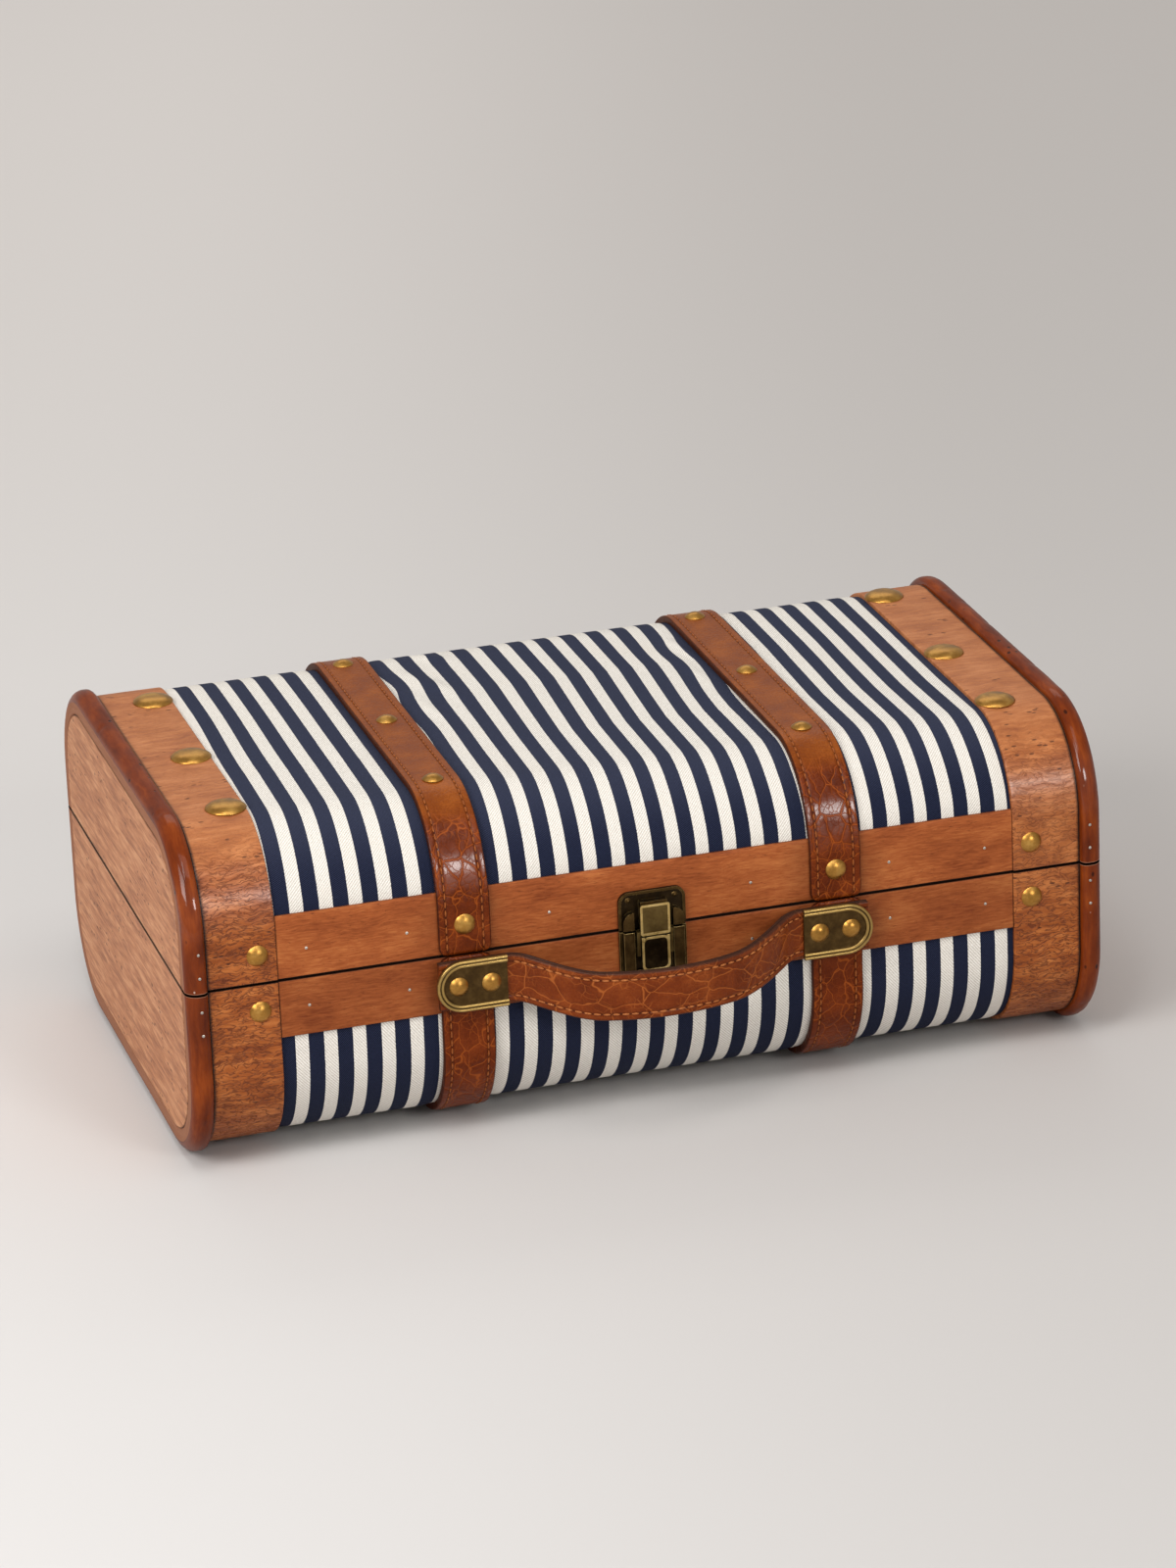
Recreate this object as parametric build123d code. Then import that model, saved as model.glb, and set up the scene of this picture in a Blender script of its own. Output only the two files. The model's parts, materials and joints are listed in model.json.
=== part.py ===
"""A small wooden suitcase box: a base and a hinged lid with round corners, striped cloth, veneer strips,
leather straps, a bowed leather handle, domed nails and a toggle latch.

Millimetres. X runs along the length, -Y is the front with the handle, and +Z is up. The box is drawn about
the middle of the case. Each piece is moved by ORIGIN_SHIFT when it is written, so that the origin lies on
the table under the middle of the bounding box, handle and hinges included.
"""
from build123d import *
from math import sqrt
import os

# Case, measured over the end trims
CASE_LENGTH = 346.0
CASE_DEPTH = 206.0
CASE_HEIGHT = 130.0
CASE_CORNER = 39.0
SEAM_HEIGHT = 73.5
SEAM_GAP = 0.9          # between the visible rims of lid and base
SHELL_RIM_GAP = 0.1     # between the rims of the two shells, where the lid comes down

# Layers of the wall, each as its distance in from the outline of the end trims
STRAP_FACE = 1.6
STRIP_FACE = 3.0
BAND_FACE = 3.4
FABRIC_FACE = 4.2
SHELL_FACE = 5.0
SHELL_INSIDE = 9.0
LINING_INSIDE = 9.8

# Ends
TRIM_WIDTH = 8.0
TRIM_OUTER_ROUND = 4.6
TRIM_INNER_ROUND = 2.4
BOARD_THICKNESS = 10.0
BOARD_CHAMFER = 0.6
LINING_THICKNESS = LINING_INSIDE - SHELL_INSIDE
STRIP_WIDTH = 26.0
STRIP_NAIL_INSET = 7.0  # from the strip's inner edge

# Front and back
LID_BAND_HEIGHT = 24.5
BASE_BAND_HEIGHT = 22.2
STRAP_WIDTH = 19.4
STRAP_CENTRE = 70.0
STRAP_END_ROUND = 3.0

# Domed nails: head radius, head height, shank radius, shank length
LARGE_NAIL = (7.6, 2.4, 1.0, 5.0)
SMALL_NAIL = (4.0, 1.9, 0.8, 5.0)
STRAP_NAIL = (3.9, 1.7, 0.8, 6.0)
BRAD = (0.7, 0.15, 0.4, 4.0)
LEFT_NAIL_ROWS = (-62.0, -7.0, 56.0)   # the large nails were set by eye, so the two rows differ
RIGHT_NAIL_ROWS = (-63.0, -7.0, 62.0)
STRAP_NAIL_SPACING = 65.0
STRAP_NAIL_RISE = 12.0
SIDE_NAIL_OFFSET = 10.8
BRAD_OFFSET = 11.0
BRAD_STATIONS = (-128.0, -91.0, -38.0, 38.0, 91.0, 128.0)
TRIM_BRAD_OFFSETS = (6.5, 15.5)
TRIM_BRAD_INSET = 2.9   # from the trim's inner edge

# Handle: a strap of two leathers that bows out and hangs a little in the middle
HANDLE_WIDTH = 18.2
HANDLE_FACE_THICKNESS = 1.6
HANDLE_BACKING_THICKNESS = 1.4
HANDLE_BOW = 22.0
HANDLE_BEND_RADIUS = 14.0
HANDLE_DROOP = 5.5
HANDLE_DROOP_INNER = 30.0
HANDLE_DROOP_OUTER = 50.0
HANDLE_DROOP_ROUND = 60.0
HANDLE_END = 81.0
PLATE_INNER_END = 56.0
PLATE_OUTER_END = 82.4
PLATE_HEIGHT = 19.8
PLATE_DROP = 10.3
PLATE_THICKNESS = 0.8
PLATE_RIM_WIDTH = 2.4
PLATE_RIM_RISE = 1.0
PLATE_GROOVE_WIDTH = 0.5
PLATE_GROOVE_DEPTH = 0.4
RIVET = (3.6, 1.8, 1.2, 9.0)
RIVET_PLACES = (62.0, 74.2)

# Latch, in its own frame: u along X, v up from the seam, w out from the wooden band
LATCH_HALF = 12.6
LATCH_TOP = 14.5
LATCH_BOTTOM = -19.5
LATCH_CORNER = 4.0
LATCH_PLATE = 1.0
LATCH_RIM_WIDTH = 1.0
LATCH_RIM_RISE = 0.6
RAIL_OUTER = 11.4
RAIL_INNER = 7.4
RAIL_FACE = 3.5
RAIL_BOTTOM = -16.0
SHOULDER_TOP = 7.2
SHOULDER_ROUND = 3.9
LEVER_PIVOT = (-3.5, 2.6)
HASP_PIVOT = (-8.0, 2.6)
LEVER_HALF = 5.3
LEVER_TOP = -2.1
LEVER_BOTTOM = -15.6
LEVER_CORNER = 2.6
LATCH_FACE_LOW = 4.2
LATCH_FACE_HIGH = 5.3
PIVOT_EYE = 1.3
LEVER_EAR = 1.0
HASP_HALF = 5.6
HASP_BOTTOM = -1.5
HASP_TOP = 10.4
HASP_CORNER = 0.9
HASP_ARM_INNER = 5.75
HASP_ARM_OUTER = 6.75
HASP_ARM_LOW = 3.45
HASP_ARM_HIGH = 4.7
HASP_ARM_LAP = 0.4
HASP_WING_TOP = -0.1     # the arms join the face below the lid's plate
FACE_BORDER = 0.9
FACE_RECESS = 0.3
FACE_FIELD_CORNER = 0.3
JOINT_LAP = 0.1         # how far two blocks of one piece run into each other
CUT_PAST = 1.0          # how far a cutter runs past what it cuts
LATCH_PIN_RADIUS = 0.6
LATCH_PIN_CLEARANCE = 0.05
LATCH_PIN_INNER = 4.3
LATCH_PIN_OUTER = 9.5
CATCH_HALF = 5.0
CATCH_BOTTOM = 1.6
CATCH_TOP = 11.1
CATCH_FACE = 3.9
SILL_HALF = 6.0
SILL_TOP = -16.2
SILL_FACE = 2.6
LATCH_TACK = (1.1, 0.5, 0.5, 4.0)
LID_TACKS = ((-8.8, 11.4), (8.8, 11.4))
BASE_TACKS = ((-8.6, -17.25), (8.6, -17.25))

# Hinges, on the back
HINGE_CENTRE = 110.0
HINGE_WIDTH = 30.0
LEAF_OUTER = 18.0
LEAF_INNER = 3.2
LEAF_THICKNESS = 1.0
LEAF_CORNER = 2.0
HINGE_AXIS_OUT = 0.4    # hinge axis behind the back of the end trims
BARREL_RADIUS = 2.4
KNUCKLE_GAP = 0.4
HINGE_PIN_RADIUS = 1.2
HINGE_PIN_CLEARANCE = 0.05
HINGE_PIN_HEAD = 0.6
HINGE_PIN_HEAD_RADIUS = 1.9
WEB_FOOT = 7.0
WEB_TOUCH = (0.25, 0.96)    # where a web meets the barrel, in barrel radii
HINGE_SCREW = (1.9, 0.8, 0.9, 4.5)
SCREW_OFFSETS = (-10.0, 0.0, 10.0)
SCREW_DROP = 12.5

# Places worked out from the sizes above
BIG = 1000.0
SAME = 0.01             # lengths closer than this count as equal
HALF_LENGTH = CASE_LENGTH / 2
HALF_DEPTH = CASE_DEPTH / 2
INNER_END = HALF_LENGTH - TRIM_WIDTH
STRIP_INNER_END = INNER_END - STRIP_WIDTH
BOARD_INSIDE = HALF_LENGTH - BOARD_THICKNESS
STRIP_NAIL_X = STRIP_INNER_END + STRIP_NAIL_INSET
FRONT, BACK, UP = (0, -1, 0), (0, 1, 0), (0, 0, 1)
HINGE_AXIS_Y = HALF_DEPTH + HINGE_AXIS_OUT
PLATE_CENTRE_Z = SEAM_HEIGHT - PLATE_DROP
HANDLE_SEAT_Y = -(HALF_DEPTH - STRAP_FACE)
HANDLE_THICKNESS = HANDLE_FACE_THICKNESS + HANDLE_BACKING_THICKNESS
LATCH_ORIGIN = (0.0, -(HALF_DEPTH - BAND_FACE), SEAM_HEIGHT)
FRONT_REACH = HANDLE_SEAT_Y - HANDLE_BOW - HANDLE_THICKNESS
BACK_REACH = HINGE_AXIS_Y + BARREL_RADIUS
ORIGIN_SHIFT = -(FRONT_REACH + BACK_REACH) / 2


def block(low, high):
    """A box between two opposite corners."""
    size = [b - a for a, b in zip(low, high)]
    middle = [(a + b) / 2 for a, b in zip(low, high)]
    return Pos(*middle) * Box(*size)


def filled(inset, x0, x1):
    """The case's rounded outline, drawn in by an inset, as a solid bar from x0 to x1."""
    outline = RectangleRounded(CASE_DEPTH - 2 * inset, CASE_HEIGHT - 2 * inset, CASE_CORNER - inset)
    return extrude(Plane.YZ.offset(x0) * Pos(0, CASE_HEIGHT / 2) * outline, x1 - x0)


def layer(face, back, x0, x1):
    """A sleeve round the case between two insets, from x0 to x1."""
    return filled(face, x0, x1) - filled(back, x0, x1)


def half_space(half, gap=SEAM_GAP):
    """Everything above or below the seam, less half of the gap there."""
    if half == "lid":
        return block((-BIG, -BIG, SEAM_HEIGHT + gap / 2), (BIG, BIG, BIG))
    return block((-BIG, -BIG, -BIG), (BIG, BIG, SEAM_HEIGHT - gap / 2))


def span(side, inner, outer):
    """The span of x between two distances from the middle, on the left (-1) or the right (+1)."""
    return (-outer, -inner) if side < 0 else (inner, outer)


def facing(x, y, z, normal):
    """A plane at a point of the surface, looking out along its normal."""
    return Plane(origin=(x, y, z), z_dir=normal)


def domed_nail(head_radius, head_height, shank_radius, shank_length):
    """A domed head standing on the plane z = 0, with its shank below."""
    ball = (head_radius**2 + head_height**2) / (2 * head_height)
    dome = Pos(0, 0, head_height - ball) * Sphere(ball) & block((-BIG, -BIG, 0), (BIG, BIG, BIG))
    shank = Pos(0, 0, -shank_length / 2) * Cylinder(shank_radius, shank_length)
    return dome + shank


def shank_holes(kind, planes):
    """The holes that the shanks of a kind of nail fill."""
    _, _, radius, length = kind
    return [plane * Pos(0, 0, -length / 2) * Cylinder(radius, length) for plane in planes]


def side_planes(stations, height, inset, normals=(FRONT, BACK)):
    """Planes on the front and back walls at some x stations and one height."""
    return [facing(x, n[1] * (HALF_DEPTH - inset), height, n) for n in normals for x in stations]


def top_planes(stations, rows, inset):
    """Planes on the flat top at some x stations and y rows."""
    return [facing(x, y, CASE_HEIGHT - inset, UP) for x in stations for y in rows]


def latch_point(u, v, w):
    """A point of the latch's frame in the case's frame."""
    x, y, z = LATCH_ORIGIN
    return (x + u, y - w, z + v)


STRIP_STATIONS = (-STRIP_NAIL_X, STRIP_NAIL_X)
STRAP_STATIONS = (-STRAP_CENTRE, STRAP_CENTRE)
TRIM_STATIONS = (-(INNER_END + TRIM_BRAD_INSET), INNER_END + TRIM_BRAD_INSET)
HANDLE_PLATE_Y = HANDLE_SEAT_Y - HANDLE_THICKNESS - PLATE_THICKNESS
NAIL_GROUPS = {
    "lid_top_nails": (LARGE_NAIL, top_planes(STRIP_STATIONS[:1], LEFT_NAIL_ROWS, STRIP_FACE)
                      + top_planes(STRIP_STATIONS[1:], RIGHT_NAIL_ROWS, STRIP_FACE)),
    "lid_strip_nails": (SMALL_NAIL, side_planes(STRIP_STATIONS, SEAM_HEIGHT + SIDE_NAIL_OFFSET, STRIP_FACE)),
    "base_strip_nails": (SMALL_NAIL, side_planes(STRIP_STATIONS, SEAM_HEIGHT - SIDE_NAIL_OFFSET, STRIP_FACE)),
    "lid_strap_nails": (STRAP_NAIL, top_planes(
        STRAP_STATIONS, (-STRAP_NAIL_SPACING, 0.0, STRAP_NAIL_SPACING), STRAP_FACE)
        + side_planes(STRAP_STATIONS, SEAM_HEIGHT + STRAP_NAIL_RISE, STRAP_FACE)),
    "base_strap_nails": (STRAP_NAIL, side_planes(
        STRAP_STATIONS, SEAM_HEIGHT - SIDE_NAIL_OFFSET, STRAP_FACE, (BACK,))),
    "lid_band_brads": (BRAD, side_planes(BRAD_STATIONS, SEAM_HEIGHT + BRAD_OFFSET, BAND_FACE)),
    "base_band_brads": (BRAD, side_planes(BRAD_STATIONS, SEAM_HEIGHT - BRAD_OFFSET, BAND_FACE)),
    "lid_trim_brads": (BRAD, [p for d in TRIM_BRAD_OFFSETS
                              for p in side_planes(TRIM_STATIONS, SEAM_HEIGHT + d, 0.0)]),
    "base_trim_brads": (BRAD, [p for d in TRIM_BRAD_OFFSETS
                               for p in side_planes(TRIM_STATIONS, SEAM_HEIGHT - d, 0.0)]),
    "handle_rivets": (RIVET, [facing(side * x, HANDLE_PLATE_Y, PLATE_CENTRE_Z, FRONT)
                              for side in (-1, 1) for x in RIVET_PLACES]),
    "latch_lid_tacks": (LATCH_TACK, [facing(*latch_point(u, v, LATCH_PLATE), FRONT) for u, v in LID_TACKS]),
    "latch_base_tacks": (LATCH_TACK, [facing(*latch_point(u, v, LATCH_PLATE), FRONT) for u, v in BASE_TACKS]),
    "hinge_lid_screws": (HINGE_SCREW, side_planes(
        [side * HINGE_CENTRE + d for side in (-1, 1) for d in SCREW_OFFSETS],
        SEAM_HEIGHT + SCREW_DROP, BAND_FACE - LEAF_THICKNESS, (BACK,))),
    "hinge_base_screws": (HINGE_SCREW, side_planes(
        [side * HINGE_CENTRE + d for side in (-1, 1) for d in SCREW_OFFSETS],
        SEAM_HEIGHT - SCREW_DROP, BAND_FACE - LEAF_THICKNESS, (BACK,))),
}
LID_GROUPS = ("lid_top_nails", "lid_strip_nails", "lid_strap_nails", "lid_band_brads", "lid_trim_brads",
              "latch_lid_tacks", "hinge_lid_screws")
BASE_GROUPS = ("base_strip_nails", "base_strap_nails", "base_band_brads", "base_trim_brads", "handle_rivets",
               "latch_base_tacks", "hinge_base_screws")


def holes(*names):
    """The shank holes of the named groups of nails."""
    return [hole for name in names for hole in shank_holes(*NAIL_GROUPS[name])]


def on_outline(edge):
    """Whether an edge lies on the outermost outline of the case."""
    point = edge.position_at(0.5)
    y = max(abs(point.Y) - (HALF_DEPTH - CASE_CORNER), 0.0)
    z = max(abs(point.Z - CASE_HEIGHT / 2) - (CASE_HEIGHT / 2 - CASE_CORNER), 0.0)
    return abs(sqrt(y * y + z * z) - CASE_CORNER) < SAME


def end_trim(side, half):
    """The round-edged moulding round one end, on its half of the case."""
    trim = layer(0.0, SHELL_INSIDE, *span(side, INNER_END, HALF_LENGTH))
    for x, radius in ((HALF_LENGTH, TRIM_OUTER_ROUND), (INNER_END, TRIM_INNER_ROUND)):
        edges = [e for e in trim.edges() if abs(abs(e.position_at(0.5).X) - x) < SAME and on_outline(e)]
        trim = fillet(edges, radius)
    return (trim & half_space(half)) - holes(f"{half}_trim_brads")


def end_board(side, half):
    """The flat board that closes one end, with a small chamfer that makes the groove beside the trim."""
    board = filled(SHELL_INSIDE, *span(side, BOARD_INSIDE, HALF_LENGTH))
    face = board.faces().sort_by(Axis.X)[-1 if side > 0 else 0]
    return chamfer(face.edges(), BOARD_CHAMFER) & half_space(half)


def shell(half):
    """The bent plywood sleeve of one half, open at the seam."""
    sleeve = layer(SHELL_FACE, SHELL_INSIDE, -INNER_END, INNER_END) & half_space(half, SHELL_RIM_GAP)
    return sleeve - holes(*(LID_GROUPS if half == "lid" else BASE_GROUPS))


def lining(half):
    """The thin lining inside one half: a sleeve with two closed ends."""
    outside = filled(SHELL_INSIDE, -BOARD_INSIDE, BOARD_INSIDE)
    reach = BOARD_INSIDE - LINING_THICKNESS
    return (outside - filled(LINING_INSIDE, -reach, reach)) & half_space(half)


def band_slab(half, side=0):
    """The slab of height that the wooden bands take, on both sides or on one side of the case."""
    top = SEAM_HEIGHT + LID_BAND_HEIGHT if half == "lid" else SEAM_HEIGHT
    bottom = SEAM_HEIGHT if half == "lid" else SEAM_HEIGHT - BASE_BAND_HEIGHT
    return block((-BIG, 0.0 if side > 0 else -BIG, bottom), (BIG, 0.0 if side < 0 else BIG, top))


def band(half, side):
    """One wooden band beside the seam, on the front (-1) or the back (+1)."""
    slat = layer(BAND_FACE, SHELL_FACE, -STRIP_INNER_END, STRIP_INNER_END)
    slat = slat & band_slab(half, side) & half_space(half)
    names = [f"{half}_band_brads", f"{half}_strap_nails", f"latch_{half}_tacks", f"hinge_{half}_screws"]
    return slat - holes(*names, *(["handle_rivets"] if half == "base" else []))


def end_strip(side, half):
    """The wide veneer strip beside one end trim."""
    strip = layer(STRIP_FACE, SHELL_FACE, *span(side, STRIP_INNER_END, INNER_END)) & half_space(half)
    names = ["lid_top_nails", "lid_strip_nails"] if half == "lid" else ["base_strip_nails"]
    return strip - holes(*names)


def fabric(half):
    """The striped cloth of one half, from band to band."""
    cloth = layer(FABRIC_FACE, SHELL_FACE, -STRIP_INNER_END, STRIP_INNER_END) & half_space(half)
    cloth = cloth - band_slab(half)
    return cloth - holes("lid_strap_nails") if half == "lid" else cloth


def strap_window(side, half):
    """The upright slab that a strap fills, with round corners where the strap ends at the seam."""
    far = CASE_HEIGHT + BIG if half == "lid" else -BIG
    near = SEAM_HEIGHT + (SEAM_GAP / 2 if half == "lid" else -SEAM_GAP / 2)
    middle = (far + near) / 2
    outline = RectangleRounded(STRAP_WIDTH, abs(far - near), STRAP_END_ROUND)
    window = Plane.XZ.offset(-BIG) * Pos(side * STRAP_CENTRE, middle) * outline
    return extrude(window, 2 * BIG)


def strap(side, half):
    """One leather strap of one half, over cloth and bands from seam to seam."""
    reach = span(side, STRAP_CENTRE - STRAP_WIDTH, STRAP_CENTRE + STRAP_WIDTH)
    leather = layer(STRAP_FACE, FABRIC_FACE, *reach) & strap_window(side, half)
    leather = leather - (filled(BAND_FACE, -INNER_END, INNER_END) & band_slab(half))
    return leather - holes(f"{half}_strap_nails", *(["handle_rivets"] if half == "base" else []))


def handle_plan(depth):
    """Points of the handle's line seen from above, a depth out from its seat: the start, the left bend's
    start, middle and end, the bow's middle, and the right bend's end, middle and start, and the finish."""
    centres = (PLATE_INNER_END**2 + HANDLE_BOW**2) / (2 * HANDLE_BOW)
    along, back = PLATE_INNER_END / centres, (centres - HANDLE_BOW) / centres
    slant = sqrt(along**2 + (1 + back)**2)
    bend = HANDLE_BEND_RADIUS - depth
    centre_y = HANDLE_SEAT_Y - HANDLE_BEND_RADIUS
    left = [
        (-HANDLE_END, centre_y + bend),
        (-PLATE_INNER_END, centre_y + bend),
        (-PLATE_INNER_END + bend * along / slant, centre_y + bend * (1 + back) / slant),
        (-PLATE_INNER_END + bend * along, centre_y + bend * back),
    ]
    middle = (0.0, HANDLE_SEAT_Y - HANDLE_BOW - depth)
    return left + [middle] + [(-x, y) for x, y in reversed(left)]


def handle_line(depth):
    """The handle's line seen from above, a depth out from its seat, as edges."""
    p = handle_plan(depth)
    return [Line(p[0], p[1]), ThreePointArc(p[1], p[2], p[3]), ThreePointArc(p[3], p[4], p[5]),
            ThreePointArc(p[5], p[6], p[7]), Line(p[7], p[8])]


def handle_side_view():
    """The handle seen from the front: level ends, and a middle that hangs lower."""
    lines = []
    for z in (PLATE_CENTRE_Z - HANDLE_WIDTH / 2, PLATE_CENTRE_Z + HANDLE_WIDTH / 2):
        left = [(-HANDLE_END, z), (-HANDLE_DROOP_OUTER, z), (-HANDLE_DROOP_INNER, z - HANDLE_DROOP)]
        points = left + [(-x, y) for x, y in reversed(left)]
        lines.append(FilletPolyline(*points, radius=HANDLE_DROOP_ROUND))
    ends = [Line(lines[0] @ 0, lines[1] @ 0), Line(lines[0] @ 1, lines[1] @ 1)]
    face = make_face(lines + ends)
    return extrude(Plane.XZ.offset(-BIG) * face, 2 * BIG)


def handle_layer(inner, outer):
    """One leather of the handle, between two depths out from its seat."""
    a, b = handle_line(inner), handle_line(outer)
    ends = [Line(a[0] @ 0, b[0] @ 0), Line(a[-1] @ 1, b[-1] @ 1)]
    ribbon = extrude(make_face(a + b + ends), CASE_HEIGHT)
    return (ribbon & handle_side_view()) - holes("handle_rivets")


def plate_outline(side, inset):
    """The D outline of a handle plate, drawn in by an inset on its three outer sides."""
    radius = PLATE_HEIGHT / 2 - inset
    inner, outer = PLATE_INNER_END, PLATE_OUTER_END - inset - radius
    points = [(side * inner, -radius), (side * outer, -radius), (side * (outer + radius), 0.0),
              (side * outer, radius), (side * inner, radius)]
    edges = [Line(points[0], points[1]), ThreePointArc(points[1], points[2], points[3]),
             Line(points[3], points[4]), Line(points[4], points[0])]
    return make_face(edges)


def plate_layer(side, inset, low, high):
    """The plate's outline as a solid, from one height to another above the handle's leather."""
    face = Plane(origin=(0, HANDLE_SEAT_Y - HANDLE_THICKNESS, PLATE_CENTRE_Z), x_dir=(1, 0, 0), z_dir=FRONT)
    return extrude(face.offset(low) * plate_outline(side, inset), high - low)


def handle_plate(side):
    """The brass plate over one end of the handle: a flat field inside a raised rim with a groove in it."""
    rim_top = PLATE_THICKNESS + PLATE_RIM_RISE
    plate = plate_layer(side, 0.0, 0.0, rim_top)
    plate = plate - plate_layer(side, PLATE_RIM_WIDTH, PLATE_THICKNESS, rim_top + CUT_PAST)
    groove_start = (PLATE_RIM_WIDTH - PLATE_GROOVE_WIDTH) / 2
    groove = plate_layer(side, groove_start, rim_top - PLATE_GROOVE_DEPTH, rim_top + CUT_PAST)
    groove = groove - plate_layer(side, groove_start + PLATE_GROOVE_WIDTH, 0.0, rim_top + 2 * CUT_PAST)
    return (plate - groove) - holes("handle_rivets")


def latch_block(u, v, w):
    """A box in the latch's frame, from its spans along u, v and w."""
    return block(latch_point(u[0], v[0], w[1]), latch_point(u[1], v[1], w[0]))


def latch_slab(face, low, high):
    """A flat face drawn in the latch's u and v, as a solid from one height to another."""
    plane = Plane(origin=LATCH_ORIGIN, x_dir=(1, 0, 0), z_dir=FRONT)
    return extrude(plane.offset(low) * face, high - low)


def pivot_rounds(place, radius, inner, outer):
    """Two rounds along X at a pivot of the latch, one on each side: its pins, its bores or its eyes."""
    v, w = place
    stubs = []
    for side in (-1, 1):
        centre = latch_point(side * (inner + outer) / 2, v, w)
        stubs.append(Pos(*centre) * Rot(0, 90, 0) * Cylinder(radius, outer - inner))
    return stubs


def two_sides(inner, outer, v, w):
    """The same box on the left and on the right of the latch's middle."""
    return [latch_block((side * outer, side * inner) if side < 0 else (inner, outer), v, w)
            for side in (-1, 1)]


def rounded_rectangle(u, v, radius):
    """A face with round corners between two spans of the latch's u and v."""
    size = (u[1] - u[0], v[1] - v[0])
    return Pos((u[0] + u[1]) / 2, (v[0] + v[1]) / 2) * RectangleRounded(*size, radius)


def latch_plates():
    """The whole latch ground plate with its raised rim, before it is parted at the seam."""
    u, v = (-LATCH_HALF, LATCH_HALF), (LATCH_BOTTOM, LATCH_TOP)
    rim = LATCH_PLATE + LATCH_RIM_RISE
    plate = latch_slab(rounded_rectangle(u, v, LATCH_CORNER), 0.0, rim)
    width = LATCH_RIM_WIDTH
    inner_u, inner_v = (u[0] + width, u[1] - width), (v[0] + width, v[1] - width)
    hollow = rounded_rectangle(inner_u, inner_v, LATCH_CORNER - width)
    return plate - latch_slab(hollow, LATCH_PLATE, rim + CUT_PAST)


def latch_catch_plate():
    """The lid's part of the latch: the plate, two shoulders with a round outer corner, and the catch."""
    arch = rounded_rectangle((-RAIL_OUTER, RAIL_OUTER), (-SHOULDER_TOP, SHOULDER_TOP), SHOULDER_ROUND)
    channel = latch_block((-RAIL_INNER, RAIL_INNER), (-SHOULDER_TOP, SHOULDER_TOP), (0.0, RAIL_FACE))
    plate = latch_plates() + (latch_slab(arch, 0.0, RAIL_FACE) - channel)
    plate = plate + latch_block((-CATCH_HALF, CATCH_HALF), (CATCH_BOTTOM, CATCH_TOP), (0.0, CATCH_FACE))
    return (plate & half_space("lid")) - holes("latch_lid_tacks")


def latch_base_plate():
    """The base's part of the latch: the plate, two rails that hold the pivot pins, and a sill."""
    plate = latch_plates() + two_sides(RAIL_INNER, RAIL_OUTER, (RAIL_BOTTOM, 0.0), (0.0, RAIL_FACE))
    plate = plate + latch_block((-SILL_HALF, SILL_HALF), (LATCH_BOTTOM, SILL_TOP), (0.0, SILL_FACE))
    pins = pivot_rounds(LEVER_PIVOT, LATCH_PIN_RADIUS, LATCH_PIN_INNER, LATCH_PIN_OUTER)
    return (plate & half_space("base")) - pins - holes("latch_base_tacks")


def recessed(face_u, face_v, corner):
    """A small plate with a shallow sunk field, as the latch's lever and hasp have."""
    plate = latch_slab(rounded_rectangle(face_u, face_v, corner), LATCH_FACE_LOW, LATCH_FACE_HIGH)
    border = FACE_BORDER
    field_u, field_v = (face_u[0] + border, face_u[1] - border), (face_v[0] + border, face_v[1] - border)
    field = rounded_rectangle(field_u, field_v, max(corner - border, FACE_FIELD_CORNER))
    return plate - latch_slab(field, LATCH_FACE_HIGH - FACE_RECESS, LATCH_FACE_HIGH + CUT_PAST)


def latch_lever():
    """The lever: a face plate with an ear on each side that turns on the rails' pins."""
    lever = recessed((-LEVER_HALF, LEVER_HALF), (LEVER_BOTTOM, LEVER_TOP), LEVER_CORNER)
    square_top = LEVER_TOP - LEVER_CORNER
    corners = two_sides(LEVER_HALF - LEVER_EAR, LEVER_HALF, (square_top, LEVER_TOP),
                        (LATCH_FACE_LOW, LATCH_FACE_HIGH))
    inner = LEVER_HALF - LEVER_EAR
    low_w = LEVER_PIVOT[1] - PIVOT_EYE
    ears = two_sides(inner, LEVER_HALF, (HASP_PIVOT[0], LEVER_PIVOT[0]), (low_w, LATCH_FACE_LOW + JOINT_LAP))
    ears += two_sides(inner, LEVER_HALF, (HASP_PIVOT[0] - PIVOT_EYE, LEVER_PIVOT[0] + PIVOT_EYE),
                      (LEVER_PIVOT[1], LATCH_FACE_LOW + JOINT_LAP))
    for place in (LEVER_PIVOT, HASP_PIVOT):
        ears += pivot_rounds(place, PIVOT_EYE, inner, LEVER_HALF)
    lever = lever + corners + ears
    turning = pivot_rounds(LEVER_PIVOT, LATCH_PIN_RADIUS + LATCH_PIN_CLEARANCE, 0.0, LATCH_PIN_OUTER)
    fixed = pivot_rounds(HASP_PIVOT, LATCH_PIN_RADIUS, LATCH_PIN_INNER, HASP_ARM_OUTER)
    return lever - turning - fixed


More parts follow.
